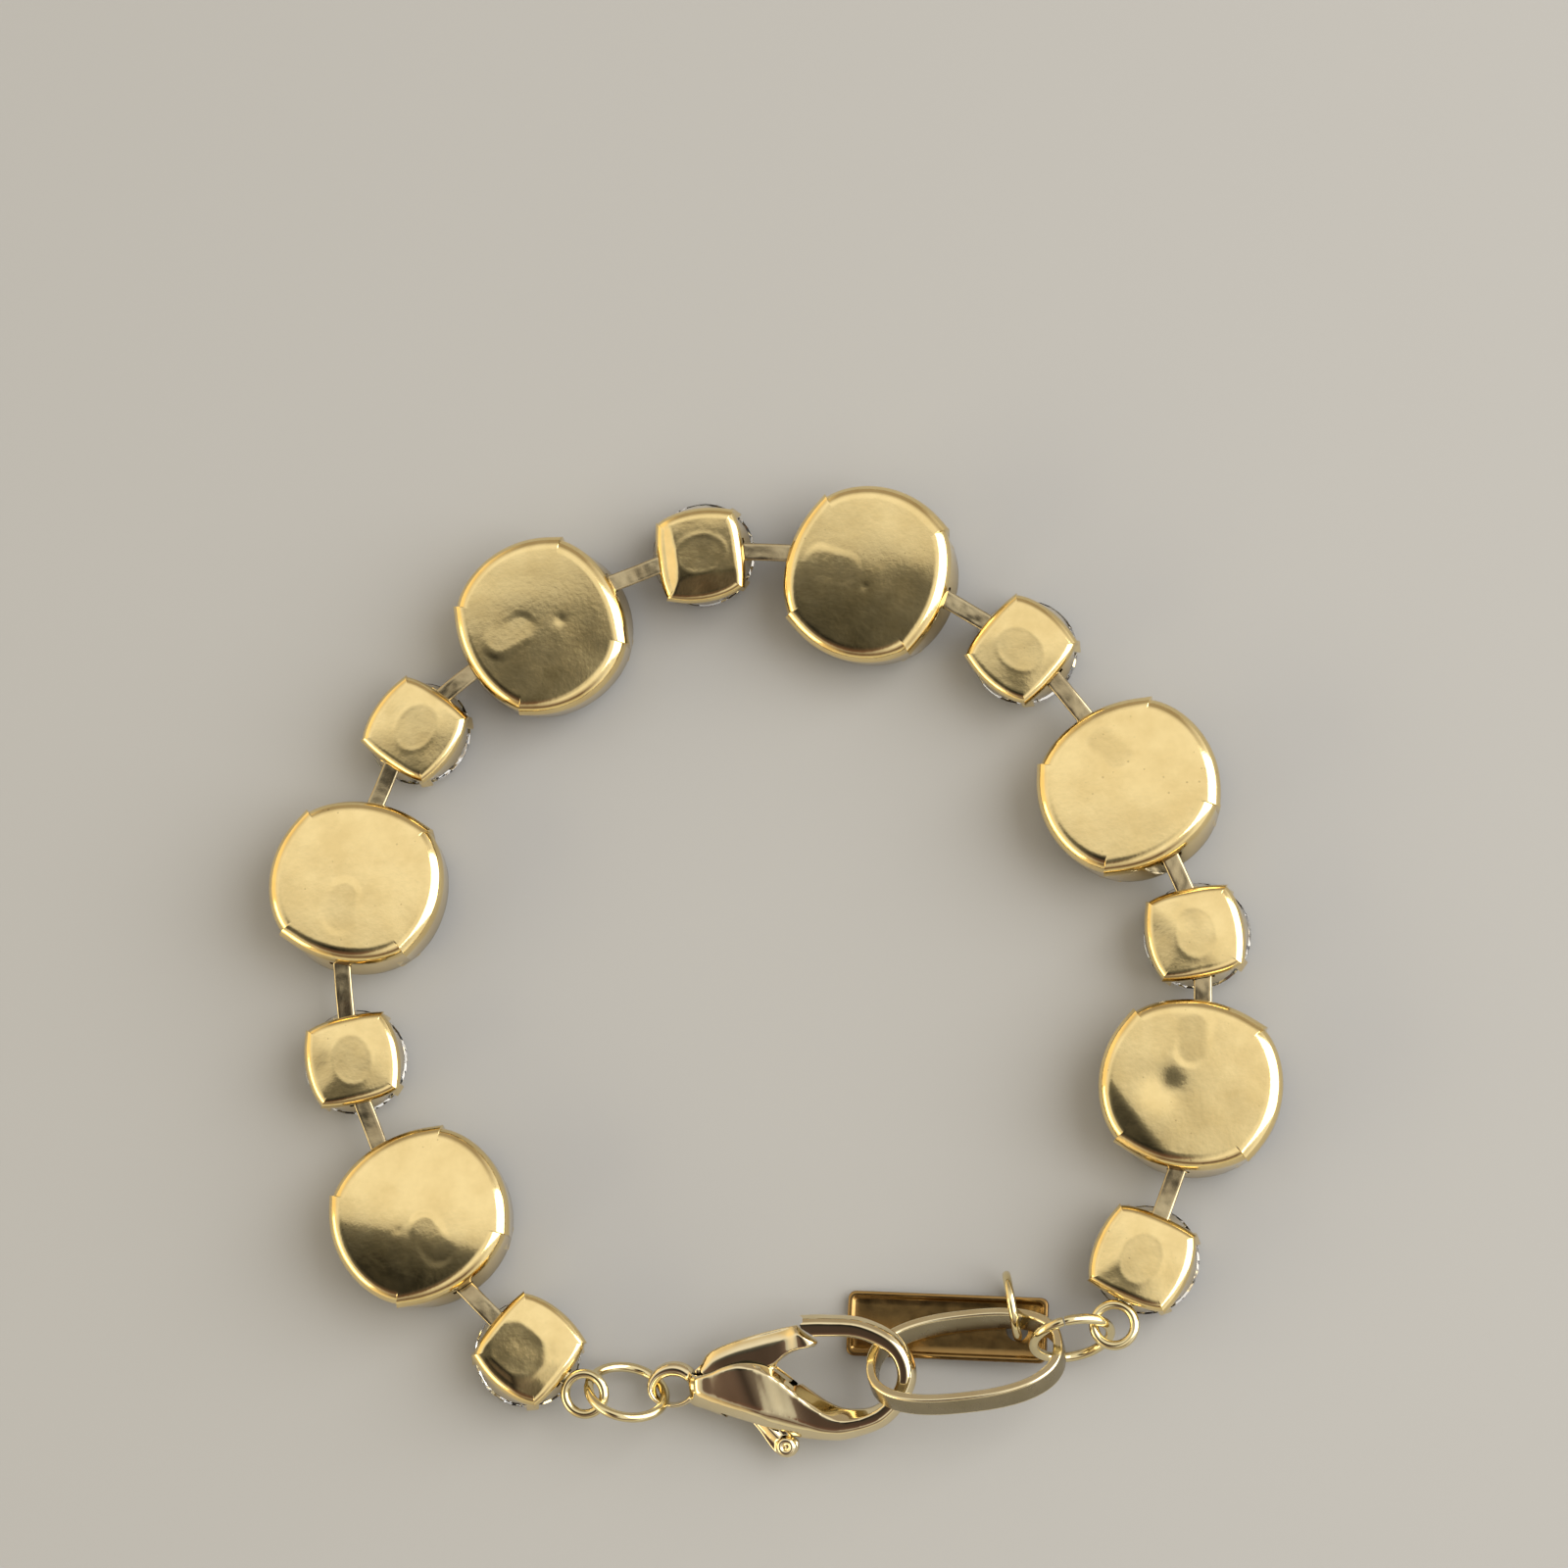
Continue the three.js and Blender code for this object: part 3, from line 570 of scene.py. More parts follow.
def box_object(size, centre):
    """A box to cut with."""
    x, y, z = np.array(size) / 2
    bottom = np.array([[-x, -y, -z], [x, -y, -z], [x, y, -z], [-x, y, -z]])
    rings = np.array([bottom, bottom + [0, 0, 2 * z]]) + np.array(centre)
    faces = [(3, 2, 1, 0), (4, 5, 6, 7)]
    faces += [(i, (i + 1) % 4, (i + 1) % 4 + 4, i + 4) for i in range(4)]
    return new_object("box", (rings.reshape(-1, 3), faces), smooth=False)


def lean(obj, cup, number, place):
    """Slides the stone's end of a small setting sideways, as it leans in the chain."""
    if cup is SMALL:
        slide = place.to_3x3().inverted() @ Vector((*SMALL_LEANS[number - 1], 0))
        for vertex in obj.data.vertices:
            share = (cup["height"] - vertex.co.z) / cup["height"]
            vertex.co.x += slide.x * share
            vertex.co.y += slide.y * share


def make_setting(cup, number, place, metal, prong_metal, glass):
    """A cup with its prongs and slots, and the stone in it."""
    size = cup["size"]
    back = large_back(number) if cup is LARGE else small_back(number)
    obj = new_object(f"{size}_cup_{number}.piece", cup_shell(cup, back))
    for side in (-1, 1):
        cut(obj, box_object((SLOT["depth"], SLOT["width"], SLOT["height"]),
                            (side * cup["along"], 0, SLOT["z"])))
    prongs = joined(*(prong_shell(cup, math.radians(a)) for a in (45, 135, 225, 315)))
    cup_faces = len(obj.data.polygons)
    extra = new_object("prongs", prongs)
    work = bmesh.new()
    work.from_mesh(obj.data)
    work.from_mesh(extra.data)
    work.to_mesh(obj.data)
    work.free()
    bpy.data.objects.remove(extra)
    sharpen(obj, SHARP["cup"])
    lean(obj, cup, number, place)
    finish_piece(obj, place, metal, [f"{size}_cup_{number}"])
    obj.data.materials.append(prong_metal)
    on_prong = [int(i >= cup_faces) for i in range(len(obj.data.polygons))]
    obj.data.polygons.foreach_set("material_index", on_prong)
    stone = new_object(f"{size}_stone_{number}.piece", stone_shell(cup), smooth=False)
    lean(stone, cup, number, place)
    finish_piece(stone, place, glass, [f"{size}_stone_{number}"])


# ---------- strips, rings, link and tag ----------

def add_metal(node, shell, place, material):
    """A piece of strip or wire that stands for its CAD node."""
    obj = new_object(f"{node}.piece", shell)
    sharpen(obj, SHARP["wire"])
    return finish_piece(obj, place, material, [node])


def place_in(node):
    """The place of a CAD node: X along its length, Z its thinnest way, upwards."""
    middle, axes = principal_axes(node_points(node))
    return place_of(middle, axes[0], upwards(axes[2]))


def strip_section():
    """The strip's section, with points spread over its two broad faces."""
    corners = rounded_box_section(STRIP["width"], STRIP["thickness"], STRIP["chamfer"], 3)
    half = STRIP["width"] / 2 - STRIP["chamfer"]
    inner = np.linspace(-half, half, 8)[1:-1]
    top = np.column_stack([inner[::-1], np.full(6, STRIP["thickness"] / 2)])
    bottom = np.column_stack([inner, np.full(6, -STRIP["thickness"] / 2)])
    return np.vstack([corners[:4], top, corners[4:12], bottom, corners[12:]])


def make_strip(number, material):
    """A flat strip with chamfered edges, slightly arched between its two slots."""
    node = f"connector_{number}"
    points = node_points(node)
    middle, axes = principal_axes(points)
    reach = np.abs((points - middle) @ axes[0]).max() / MM - STRIP["inset"]
    along = np.linspace(-reach, reach, STRIP["rows"])
    bow = 1 if number % 2 else -0.6
    arch = STRIP["arch"] * np.cos(along / reach * math.pi * 1.5) * bow
    path = np.stack([along, np.zeros(STRIP["rows"]), arch], 1)
    section = strip_section()
    points, faces = loft(sweep(path, lambda i: section, (0, 0, 1)))
    hammered = ripples(points[:, 0], points[:, 1], SEED * 5 + number, *RIPPLES["strip"])
    points[:, 2] += hammered * (np.abs(points[:, 1]) < STRIP["width"] / 2 - STRIP["chamfer"])
    add_metal(node, (points, faces), place_in(node), material)


def circle_path(radius_x, radius_y, steps, gap=0.0, power=1.0):
    """An oval in the XY plane, closed or with a gap (in radians) at its +X end. A power below
    1 squares it."""
    angle = np.linspace(gap / 2, 2 * math.pi - gap / 2, steps, endpoint=gap > 0)
    cos, sin = np.cos(angle), np.sin(angle)
    return np.stack([radius_x * np.sign(cos) * np.abs(cos) ** power,
                     radius_y * np.sign(sin) * np.abs(sin) ** power,
                     np.zeros(steps)], 1)


def make_ring(node, ring, seam, material):
    """A jump ring of round wire, cut through at its seam (in degrees) and pressed shut."""
    place = place_in(node) @ Matrix.Rotation(math.radians(seam), 4, "Z")
    path = circle_path(ring["radius"], ring["radius"], RING_STEPS, gap=SEAM["gap"])
    count = len(path)

    def section(i):
        end = min(i, count - 1 - i)
        shrink = 1 - SEAM["taper"] * max(0, 1 - end / 2)
        return round_section(ring["wire"] * shrink, ring["wire"] * shrink, RING_SIDES)

    add_metal(node, loft(sweep(path, section, (0, 0, 1))), place, material)


def make_end_ring(name, place, side, roll, material):
    """The small ring on the tongue that leaves an end cup, rolled by an angle in degrees."""
    out = side * END_RING["out"]
    local = place @ Matrix.Translation((out * MM, 0, SLOT["z"] * MM))
    if side < 0:
        local = local @ Matrix.Rotation(math.pi, 4, "Z")
    reach = SHEET / 2 + END_RING["clearance"] + END_RING["radius"] + END_RING["wire"]
    path = circle_path(END_RING["radius"], END_RING["radius"], END_RING["steps"])
    wire = round_section(END_RING["wire"], END_RING["wire"], END_RING["sides"])
    ring = closed_wire(path, lambda i: wire)
    tilt = np.array(Matrix.Rotation(math.radians(roll), 3, "X"))
    ring = (ring[0] @ tilt.T + [reach, 0, 0], ring[1])
    rows = TONGUE["rows"]
    along = np.linspace(-TONGUE["inside"], reach - END_RING["radius"] - TONGUE["overlap"], rows)
    tongue_path = np.stack([along, np.zeros(rows), np.zeros(rows)], 1)

    def section(i):
        narrowed = TONGUE["narrowing"] * smoothstep(0.3, 1, i / (rows - 1))
        width = STRIP["width"] * (1 - narrowed)
        return rounded_box_section(width, STRIP["thickness"], STRIP["chamfer"], 3)

    tongue = loft(sweep(tongue_path, section, (0, 0, 1)))
    add_metal(name, joined(ring, tongue), local, material)


def make_link(material, rim):
    """The long link: a flat band bent to an oval, with glossier rims. The band's darker colour
    is painted shade, and the rims' lighter colour is a painted highlight.
    """
    place = place_in("oval_link")
    path = circle_path(LINK["length"], LINK["width"], LINK["rows"], power=2 / LINK["squareness"])
    looped = np.vstack([path, path[:1]])
    steps = np.linalg.norm(np.diff(looped, axis=0), axis=1)
    travelled = np.concatenate([[0], np.cumsum(steps)])
    even = np.linspace(0, travelled[-1], LINK["rows"], endpoint=False)
    path = np.stack([np.interp(even, travelled, looped[:, k]) for k in range(3)], 1)
    section = rounded_box_section(LINK["thickness"], LINK["band"], LINK["chamfer"])
    band = closed_wire(path, lambda i: section)
    obj = add_metal("oval_link", band, place, material)
    obj.data.materials.append(rim)
    inverse = place.inverted()
    # Faces near the band's edges take the rim material with its painted highlight.
    for face in obj.data.polygons:
        if abs((inverse @ face.center).z) > (LINK["band"] / 2 - LINK["rim"]) * MM:
            face.material_index = 1


def rounded_rectangle(length, width, corner, per_side=10, per_corner=6):
    """Points round a rectangle with round corners, evenly spread on its straight sides."""
    corners = rounded_box_section(length, width, corner, per_corner).reshape(4, -1, 2)
    points = []
    for k in range(4):
        start, end = corners[k][-1], corners[(k + 1) % 4][0]
        points.extend(corners[k])
        points.extend(start + (end - start) * step / per_side for step in range(1, per_side))
    return np.array(points)


def make_tag(material):
    """The tag: a plain plate with a raised rim round a shallow field, and a hole."""
    middle, axes = principal_axes(node_points("tag"))
    ring_middle = principal_axes(node_points("tag_ring"))[0]
    length_axis = axes[0]
    if (ring_middle - middle) @ length_axis < 0:
        length_axis = -length_axis
    reach = node_points("tag") @ length_axis
    middle = middle + length_axis * ((reach.max() + reach.min()) / 2 - middle @ length_axis)
    place = place_of(middle, length_axis, upwards(axes[2]))
    half, rim, recess = TAG["thickness"] / 2, TAG["rim"], TAG["recess"]
    # The plate's outline is drawn in by the first number at the height of the second.
    profile = (
        (0.9, -half), (0.12, -half), (0.03, -half + 0.04), (0, -half + 0.12),
        (0, half - 0.12), (0.035, half - 0.035), (0.12, half), (rim - 0.08, half),
        (rim, half - 0.04), (rim + 0.06, half - recess + 0.03), (rim + 0.16, half - recess),
        (0.9, half - recess), (1.6, half - recess),
    )
    rings = []
    for inset, z in profile:
        outline = rounded_rectangle(TAG["length"] - 2 * inset, TAG["width"] - 2 * inset,
                                    max(TAG["corner"] - inset / 2, TAG["least_corner"]))
        rings.append(np.column_stack([outline, np.full(len(outline), z)]))
    obj = new_object("tag.piece", loft(rings))
    hole = round_section(TAG_HOLE["radius"], TAG_HOLE["radius"], TAG_HOLE["sides"])
    hole = hole + [TAG["length"] / 2 - TAG_HOLE["from_end"], 0]
    walls = [np.column_stack([hole, np.full(len(hole), z)]) for z in (-1, 1)]
    cut(obj, new_object("hole", loft(walls)))
    sharpen(obj, SHARP["tag"])
    finish_piece(obj, place, material, ["tag"])


# ---------- clasp ----------

# Sections of the body from the eye, round the bend, to the nose, and of the lever's arm and
# tab. Each has x and y of its outer and of its inner end, half its thickness, the shares of its
# width where its flat face begins and ends, and the share of its height left at the inner end.
BODY_SECTIONS = [
    (1.65, -0.98, 1.6, 1.5, 0.7, 0.5, 0.7, 0.6),
    (1.95, -1.1, 1.95, 1.15, 1.05, 0.55, 0.85, 0.75),
    (2.4, -1.22, 2.4, 1.1, 1.38, 0.62, 0.93, 0.85),
    (3.5, -1.63, 3.3, 1.33, 1.48, 0.5, 0.95, 0.9),
    (5.2, -2.15, 4.2, 1.7, 1.56, 0.4, 0.95, 0.9),
    (6.9, -2.67, 5.3, 1.93, 1.6, 0.37, 0.95, 0.88),
    (7.9, -2.97, 6.5, 1.8, 1.47, 0.38, 0.93, 0.7),
    (8.8, -3.17, 7.7, 1.28, 1.3, 0.37, 0.88, 0.35),
    (9.6, -3.28, 9.0, 0.47, 1.16, 0.35, 0.77, 0.12),
    (10.6, -3.37, 11.0, -0.9, 1.07, 0.37, 0.7, 0.1),
    (12.2, -3.3, 12.4, -1.3, 1.0, 0.4, 0.65, 0.2),
    (14.75, -2.4, 14.0, -1.1, 0.9, 0.4, 0.75, 0.4),
    (16.45, -0.5, 15.4, 0.05, 0.82, 0.4, 0.8, 0.6),
    (16.85, 1.4, 15.65, 1.4, 0.8, 0.4, 0.85, 0.7),
    (15.8, 3.45, 14.95, 2.5, 0.8, 0.4, 0.85, 0.7),
    (13.5, 4.65, 13.15, 3.35, 0.8, 0.4, 0.88, 0.7),
    (11.0, 4.9, 11.0, 3.5, 0.8, 0.4, 0.9, 0.7),
    (9.2, 4.9, 9.2, 3.45, 0.8, 0.4, 0.9, 0.7),
]
ARM_SECTIONS = [
    (2.25, 1.6, 2.7, 0.8, 0.5, 0.5, 0.9, 0.8),
    (2.9, 2.5, 3.9, 1.0, 0.55, 0.45, 0.95, 0.8),
    (4.4, 3.15, 5.0, 1.2, 0.55, 0.42, 0.95, 0.8),
    (5.9, 3.6, 6.2, 1.2, 0.55, 0.4, 0.95, 0.8),
    (7.35, 3.95, 7.4, 1.65, 0.55, 0.42, 0.95, 0.8),
    (8.3, 4.12, 8.3, 2.38, 0.58, 0.45, 0.95, 0.8),
    (8.95, 4.22, 9.2, 2.7, 0.72, 0.4, 0.95, 0.8),
    (9.4, 3.8, 9.9, 2.8, 0.72, 0.3, 0.9, 0.7),
    (10.1, 3.3, 10.3, 2.95, 0.55, 0.4, 0.6, 0.5),
]
TAB_SECTIONS = [
    (5.3, -1.6, 6.75, -1.2, 0.5, 0.6, 0.6, 0.5),
    (6.1, -2.55, 7.3, -2.0, 0.48, 0.6, 0.5, 0.3),
    (6.85, -3.5, 8.1, -2.8, 0.42, 0.6, 0.5, 0.2),
    (7.35, -4.0, 8.5, -3.3, 0.36, 0.6, 0.5, 0.2),
]
# The eye's wire is thicker towards +Y, and again where the body leaves it.
EYE = {"x": 0.38, "y": 0.09, "hole_x": 1.2, "hole_y": 0.85, "wire": 0.285, "top_heavy": 0.1,
       "collar": 0.14, "collar_turn": 0.3, "axial": 0.6, "steps": 72, "sides": 20}
# Corners of the lever, each with the control point of the curve that leads to it, if any.
LEVER_OUTLINE = [
    ((1.95, 1.35),), ((9.0, 4.25), (4.2, 3.5)), ((9.3, 3.85),), ((10.35, 3.1),), ((10.15, 2.8),),
    ((7.3, 1.4), (8.2, 2.65)), ((8.5, 0.55),), ((7.0, -1.7), (6.6, 0.0)), ((8.75, -3.4),),
    ((7.7, -4.45), (8.9, -4.5)), ((6.4, -3.0), (7.1, -4.2)), ((3.4, -0.7), (5.2, -1.2)),
    ((1.95, 1.35), (2.2, -0.5)),
]
NOSE_CUT = [
    (8.0, 5.4), (8.85, 5.2), (9.08, 4.78), (9.3, 4.86), (9.5, 4.74), (9.54, 4.5), (9.36, 4.34),
    (9.45, 4.1), (10.6, 3.35), (11.2, 2.9), (8.0, 2.4),
]
LEVER_HEEL = [(6.0, 1.5), (7.25, 1.4), (8.4, 0.55), (7.5, 0.1), (6.9, -0.4), (6.2, 0.2)]
TAB_END = {"x": 7.98, "y": -3.72, "radius": 0.42, "wire": 0.34, "axial": 0.6, "steps": 48,
           "sides": 16}
CLASP_SLOT, LEVER_WEB, LEVER_HEEL_WIDTH, THROUGH_CLASP = 1.3, 0.5, 1.1, 4
# The slot is cut at each step of the lever's swing (in degrees), a little wider each time.
SWING = {"most": 20, "step": 4, "widening": 0.003, "gap": 0.15}
CURVE_STEPS, BAR_SIDES = 8, 26
BODY_SKIN = {"voxel": 0.06, "smoothing": 9}
LEVER_SKIN = {"voxel": 0.055, "smoothing": 7}


def clasp_place():
    """The clasp's frame, from its lever's hinge: origin in the eye, X towards the bend."""
    joint = next(j for j in frame["joints"] if j["name"] == "lever_hinge")
    z = -Vector(joint["axis"])
    place = place_of(joint["pos_m"], Vector((0, 1, 0)).cross(z), z)
    return place @ Matrix.Translation((-PIVOT["x"] * MM, -PIVOT["y"] * MM, 0))


def outline_points(rows):
    """A closed outline from rows of corners, with a curve where a row has a second point."""
    points = [np.array(rows[0][0])]
    for end, *via in rows[1:]:
        end = np.array(end)
        if not via:
            points.append(end)
            continue
        start, via = points[-1], np.array(via[0])
        for t in np.linspace(0, 1, CURVE_STEPS + 1)[1:]:
            points.append((1 - t) ** 2 * start + 2 * t * (1 - t) * via + t ** 2 * end)
    return np.array(points[:-1])


def plate_shell(outline, thickness):
    """A flat plate from an outline, filled with triangles."""
    outline = np.asarray(outline, float)
    flat = [Vector((x, y, 0)) for x, y in outline]
    triangles = geometry.tessellate_polygon([flat])
    count = len(outline)
    bottom = np.column_stack([outline, np.full(count, -thickness / 2)])
    top = np.column_stack([outline, np.full(count, thickness / 2)])
    faces = [tuple(t) for t in triangles]
    faces += [tuple(i + count for i in reversed(t)) for t in triangles]
    faces += [(i, (i + 1) % count, (i + 1) % count + count, i + count) for i in range(count)]
    return np.vstack([bottom, top]), faces


def cut_plate(obj, outline, thickness):
    """Cuts a flat plate out of an object."""
    cut(obj, new_object("plate", plate_shell(outline, thickness), smooth=False))


def section_loft(rows):
    """A bar through sections between outer and inner ends, the same on both of its faces."""
    shares = (1 - np.cos(np.linspace(0, math.pi, BAR_SIDES))) / 2
    rings = []
    for values in smooth_path(rows, CURVE_STEPS):
        outer, inner = values[0:2], values[2:4]
        half, wall, crest, edge = values[4:]
        inward = 1 - np.clip(shares / wall, 0, 1)
        rise = 0.5 * (1 - inward ** 1.6) + 0.5 * np.sqrt(1 - inward ** 2)
        fall = edge + (1 - edge) * np.clip((1 - shares) / (1 - crest), 0, 1)
        height = half * np.minimum(rise, fall)
        flat = outer + (inner - outer) * shares[:, None]
        top = np.column_stack([flat, height])
        bottom = np.column_stack([flat, -height])[:0:-1]
        rings.append(np.vstack([top, bottom]))
    return loft(rings)


def make_clasp(material):
    """The clasp's body with its eye, slot and nose, and the lever that closes on it."""
    place = clasp_place()
    round_eye = np.linspace(0, 2 * math.pi, EYE["steps"], endpoint=False)
    wire = EYE["wire"] + EYE["top_heavy"] * np.sin(round_eye)
    wire = wire + EYE["collar"] * np.clip(np.sin(round_eye + EYE["collar_turn"]), 0, 1) ** 2
    eye_path = np.column_stack([EYE["x"] + (EYE["hole_x"] + wire) * np.cos(round_eye),
                                EYE["y"] + (EYE["hole_y"] + wire) * np.sin(round_eye),
                                np.zeros(EYE["steps"])])
    eye = closed_wire(eye_path, lambda i: round_section(wire[i], EYE["axial"], EYE["sides"]))
    body = new_object("clasp_body.piece", joined(section_loft(BODY_SECTIONS), eye))
    remesh(body, **BODY_SKIN)
    cut_plate(body, NOSE_CUT, THROUGH_CLASP)
    outline = outline_points(LEVER_OUTLINE)
    grown = grown_outline(outline, SWING["gap"])
    pivot = (PIVOT["x"], PIVOT["y"])
    for turn in range(0, SWING["most"] + 1, SWING["step"]):
        swing = np.array(Matrix.Rotation(math.radians(-turn), 2))
        cut_plate(body, (grown - pivot) @ swing.T + pivot, CLASP_SLOT + SWING["widening"] * turn)
    sharpen(body, SHARP["clasp"])
    finish_piece(body, place, material, ["clasp_body"])

    end = TAB_END
    bead_path = circle_path(end["radius"], end["radius"], end["steps"])
    bead_path = bead_path + [end["x"], end["y"], 0]
    rim = round_section(end["wire"], end["axial"], end["sides"])
    bead = closed_wire(bead_path, lambda i: rim)
    web = plate_shell(outline, LEVER_WEB)
    heel = plate_shell(LEVER_HEEL, LEVER_HEEL_WIDTH)
    lever = joined(web, heel, section_loft(ARM_SECTIONS), section_loft(TAB_SECTIONS), bead)
    lever = new_object("clasp_lever.piece", lever)
    remesh(lever, **LEVER_SKIN)
    finish_piece(lever, place, material, ["clasp_lever"], body="lever")


def grown_outline(points, amount):
    """An outline pushed outwards by an amount."""
    tangent = np.roll(points, -1, axis=0) - np.roll(points, 1, axis=0)
    tangent /= np.linalg.norm(tangent, axis=1)[:, None]
    normal = np.column_stack([tangent[:, 1], -tangent[:, 0]])
    x, y = points.T
    area = (x * np.roll(y, -1) - np.roll(x, -1) * y).sum()
    return points + normal * (amount if area > 0 else -amount)


# ---------- materials ----------

class Nodes:
    """A short way to wire a material's nodes."""

    def __init__(self, tree):
        self.tree = tree
        tree.nodes.clear()

    def add(self, kind, inputs=None, **settings):
        node = self.tree.nodes.new("ShaderNode" + kind)
        for key, value in settings.items():
            setattr(node, key, value)
        for key, value in (inputs or {}).items():
            if isinstance(value, bpy.types.NodeSocket):
                self.tree.links.new(value, node.inputs[key])
            else:
                node.inputs[key].default_value = value
        return node

    def noise(self, vector, scale, detail=4.0, roughness=0.55):
        inputs = {"Vector": vector, "Scale": scale, "Detail": detail, "Roughness": roughness}
        return self.add("TexNoise", inputs).outputs["Fac"]

    def span(self, value, low, high, out_low, out_high):
        inputs = {"Value": value, "From Min": low, "From Max": high,
                  "To Min": out_low, "To Max": out_high}
        return self.add("MapRange", inputs).outputs["Result"]

    def math(self, operation, a, b=0.0):
        return self.add("Math", {0: a, 1: b}, operation=operation).outputs[0]

    def mix(self, factor, first, second):
        inputs = {0: factor, 6: first, 7: second}
        return self.add("Mix", inputs, data_type="RGBA").outputs[2]

    def blend(self, factor, first, second):
        return self.add("Mix", {0: factor, 2: first, 3: second}).outputs[0]

    def where(self, output="Object"):
        return self.add("TexCoord").outputs[output]


# Painted shade: what the light metal's colour turns to low down between the settings, where
# the cups' walls lie in shade, and the heights in metres between which it turns.
PAINTED_LOW_SHADE = (0.36, 0.28, 0.15, 1)
PAINTED_SHADE_BAND = (0.0045, 0.002)


def new_material(name, shader_inputs):
    """A material of one Principled shader. shader_inputs gives its inputs from its nodes."""
    material = bpy.data.materials.new(name)
    material.use_nodes = True
    n = Nodes(material.node_tree)
    shader = n.add("BsdfPrincipled", shader_inputs(n))
    n.add("OutputMaterial", {"Surface": shader.outputs[0]})
    return material


# The light and the dark tone, roughness, grain, dark spots, and the share of the colour that is
# left low down under the painted shade.
METALS = {
    "cup_gold": ((0.9, 0.72, 0.36, 1), (0.8, 0.62, 0.29, 1), 0.11, 0.5, 0.5, 0.15),
    "prong_gold": ((0.86, 0.7, 0.36, 1), (0.8, 0.62, 0.3, 1), 0.1, 0.2),
    "strip_gold": ((0.5, 0.42, 0.26, 1), (0.4, 0.32, 0.19, 1), 0.2, 0.8, 0.3),
    "ring_gold": ((0.82, 0.71, 0.42, 1), (0.72, 0.6, 0.33, 1), 0.1, 0.2),
    # The link's band and rims are one gold: the band painted darker as shade, the rims painted
    # lighter as a highlight, and glossier.
    "link_shaded_gold": ((0.34, 0.29, 0.19, 1), (0.3, 0.255, 0.16, 1), 0.28, 0.12),
    "link_rim_highlit_gold": ((0.86, 0.76, 0.5, 1), (0.8, 0.68, 0.42, 1), 0.12, 0.2),
    # The tag's dark brown is painted shade: the dark reflection of the person leaning over it.
    "tag_painted_dark_gold": ((0.34, 0.215, 0.08, 1), (0.27, 0.16, 0.055, 1), 0.2, 0.3),
    "clasp_gold": ((0.82, 0.71, 0.46, 1), (0.78, 0.66, 0.41, 1), 0.06, 0.1),
}


def gold(name, light, dark, roughness, grain, spots=0.0, unshaded_share=1.0):
    """Plated metal: light and dark tones in soft patches, small dark spots, uneven gloss and
    fine grain, and painted shade that darkens it low down."""
    def inputs(n):
        where = n.where()
        patches = n.span(n.noise(where, 420, 5.0, 0.6), 0.35, 0.65, 0.0, 1.0)
        colour = n.mix(patches, light, dark)
        cells = n.add("TexVoronoi", {"Vector": where, "Scale": 1500.0})
        size = n.span(n.noise(where, 300, 2.0), 0.4, 0.7, 0.0, 0.13)
        spot = n.math("LESS_THAN", cells.outputs["Distance"], size)
        spotted = tuple(0.55 * c for c in dark[:3]) + (1,)
        colour = n.mix(n.math("MULTIPLY", spot, spots), colour, spotted)
        height_up = n.add("SeparateXYZ", {0: where}).outputs[2]
        # Painted shade: darker towards the bottom.
        colour = n.mix(n.span(height_up, *PAINTED_SHADE_BAND, 0.0, 1 - unshaded_share), colour, PAINTED_LOW_SHADE)
        gloss = n.noise(where, 900, 4.0, 0.6)
        gloss = n.span(gloss, 0.3, 0.7, roughness * 0.75, roughness * 1.35)
        height = n.math("MULTIPLY", n.noise(where, 2600, 3.0, 0.55), grain)
        bump = n.add("Bump", {"Height": height, "Strength": 1.0, "Distance": 0.00001})
        return {"Base Color": colour, "Metallic": 1.0, "Roughness": gloss,
                "Normal": bump.outputs[0]}
    return new_material(name, inputs)


def crystal(name):
    """Clear cut glass."""
    return new_material(name, lambda n: {
        "Base Color": (0.97, 0.98, 1.0, 1.0), "IOR": 1.56, "Transmission Weight": 1.0,
        "Roughness": n.span(n.noise(n.where(), 1500, 3.0), 0.4, 0.7, 0.01, 0.05)})


# ---------- light, floor and camera ----------

# The dim shape that the backs reflect, in directions of the room: its middle, radius, core and
# halo, the softness of its edge, and how it stretches towards -Y; and how bright its core, its
# edge and its halo are.
DIM_SHAPE = {"x": -0.27, "y": -0.1, "radius": 0.245, "core": 0.04, "halo": 0.16, "soft": 0.015,
             "stretch": 0.45, "bright": (0.02, 0.2, 0.5)}
NEAR_WALL, FAR_WALL, TABLE = (0.16, 0.1, 0.08, 1), (0.42, 0.36, 0.29, 1), (0.75, 0.7, 0.56, 1)
LEFT, RIGHT, CEILING = (1.25, 0.98, 0.56, 1), (1.0, 0.98, 0.95, 1), (1.04, 1.0, 0.93, 1)
UPPER_SHAPE, LOWER_SHAPE = (1.0, 0.98, 0.92, 1), (1.0, 0.6, 0.5, 1)


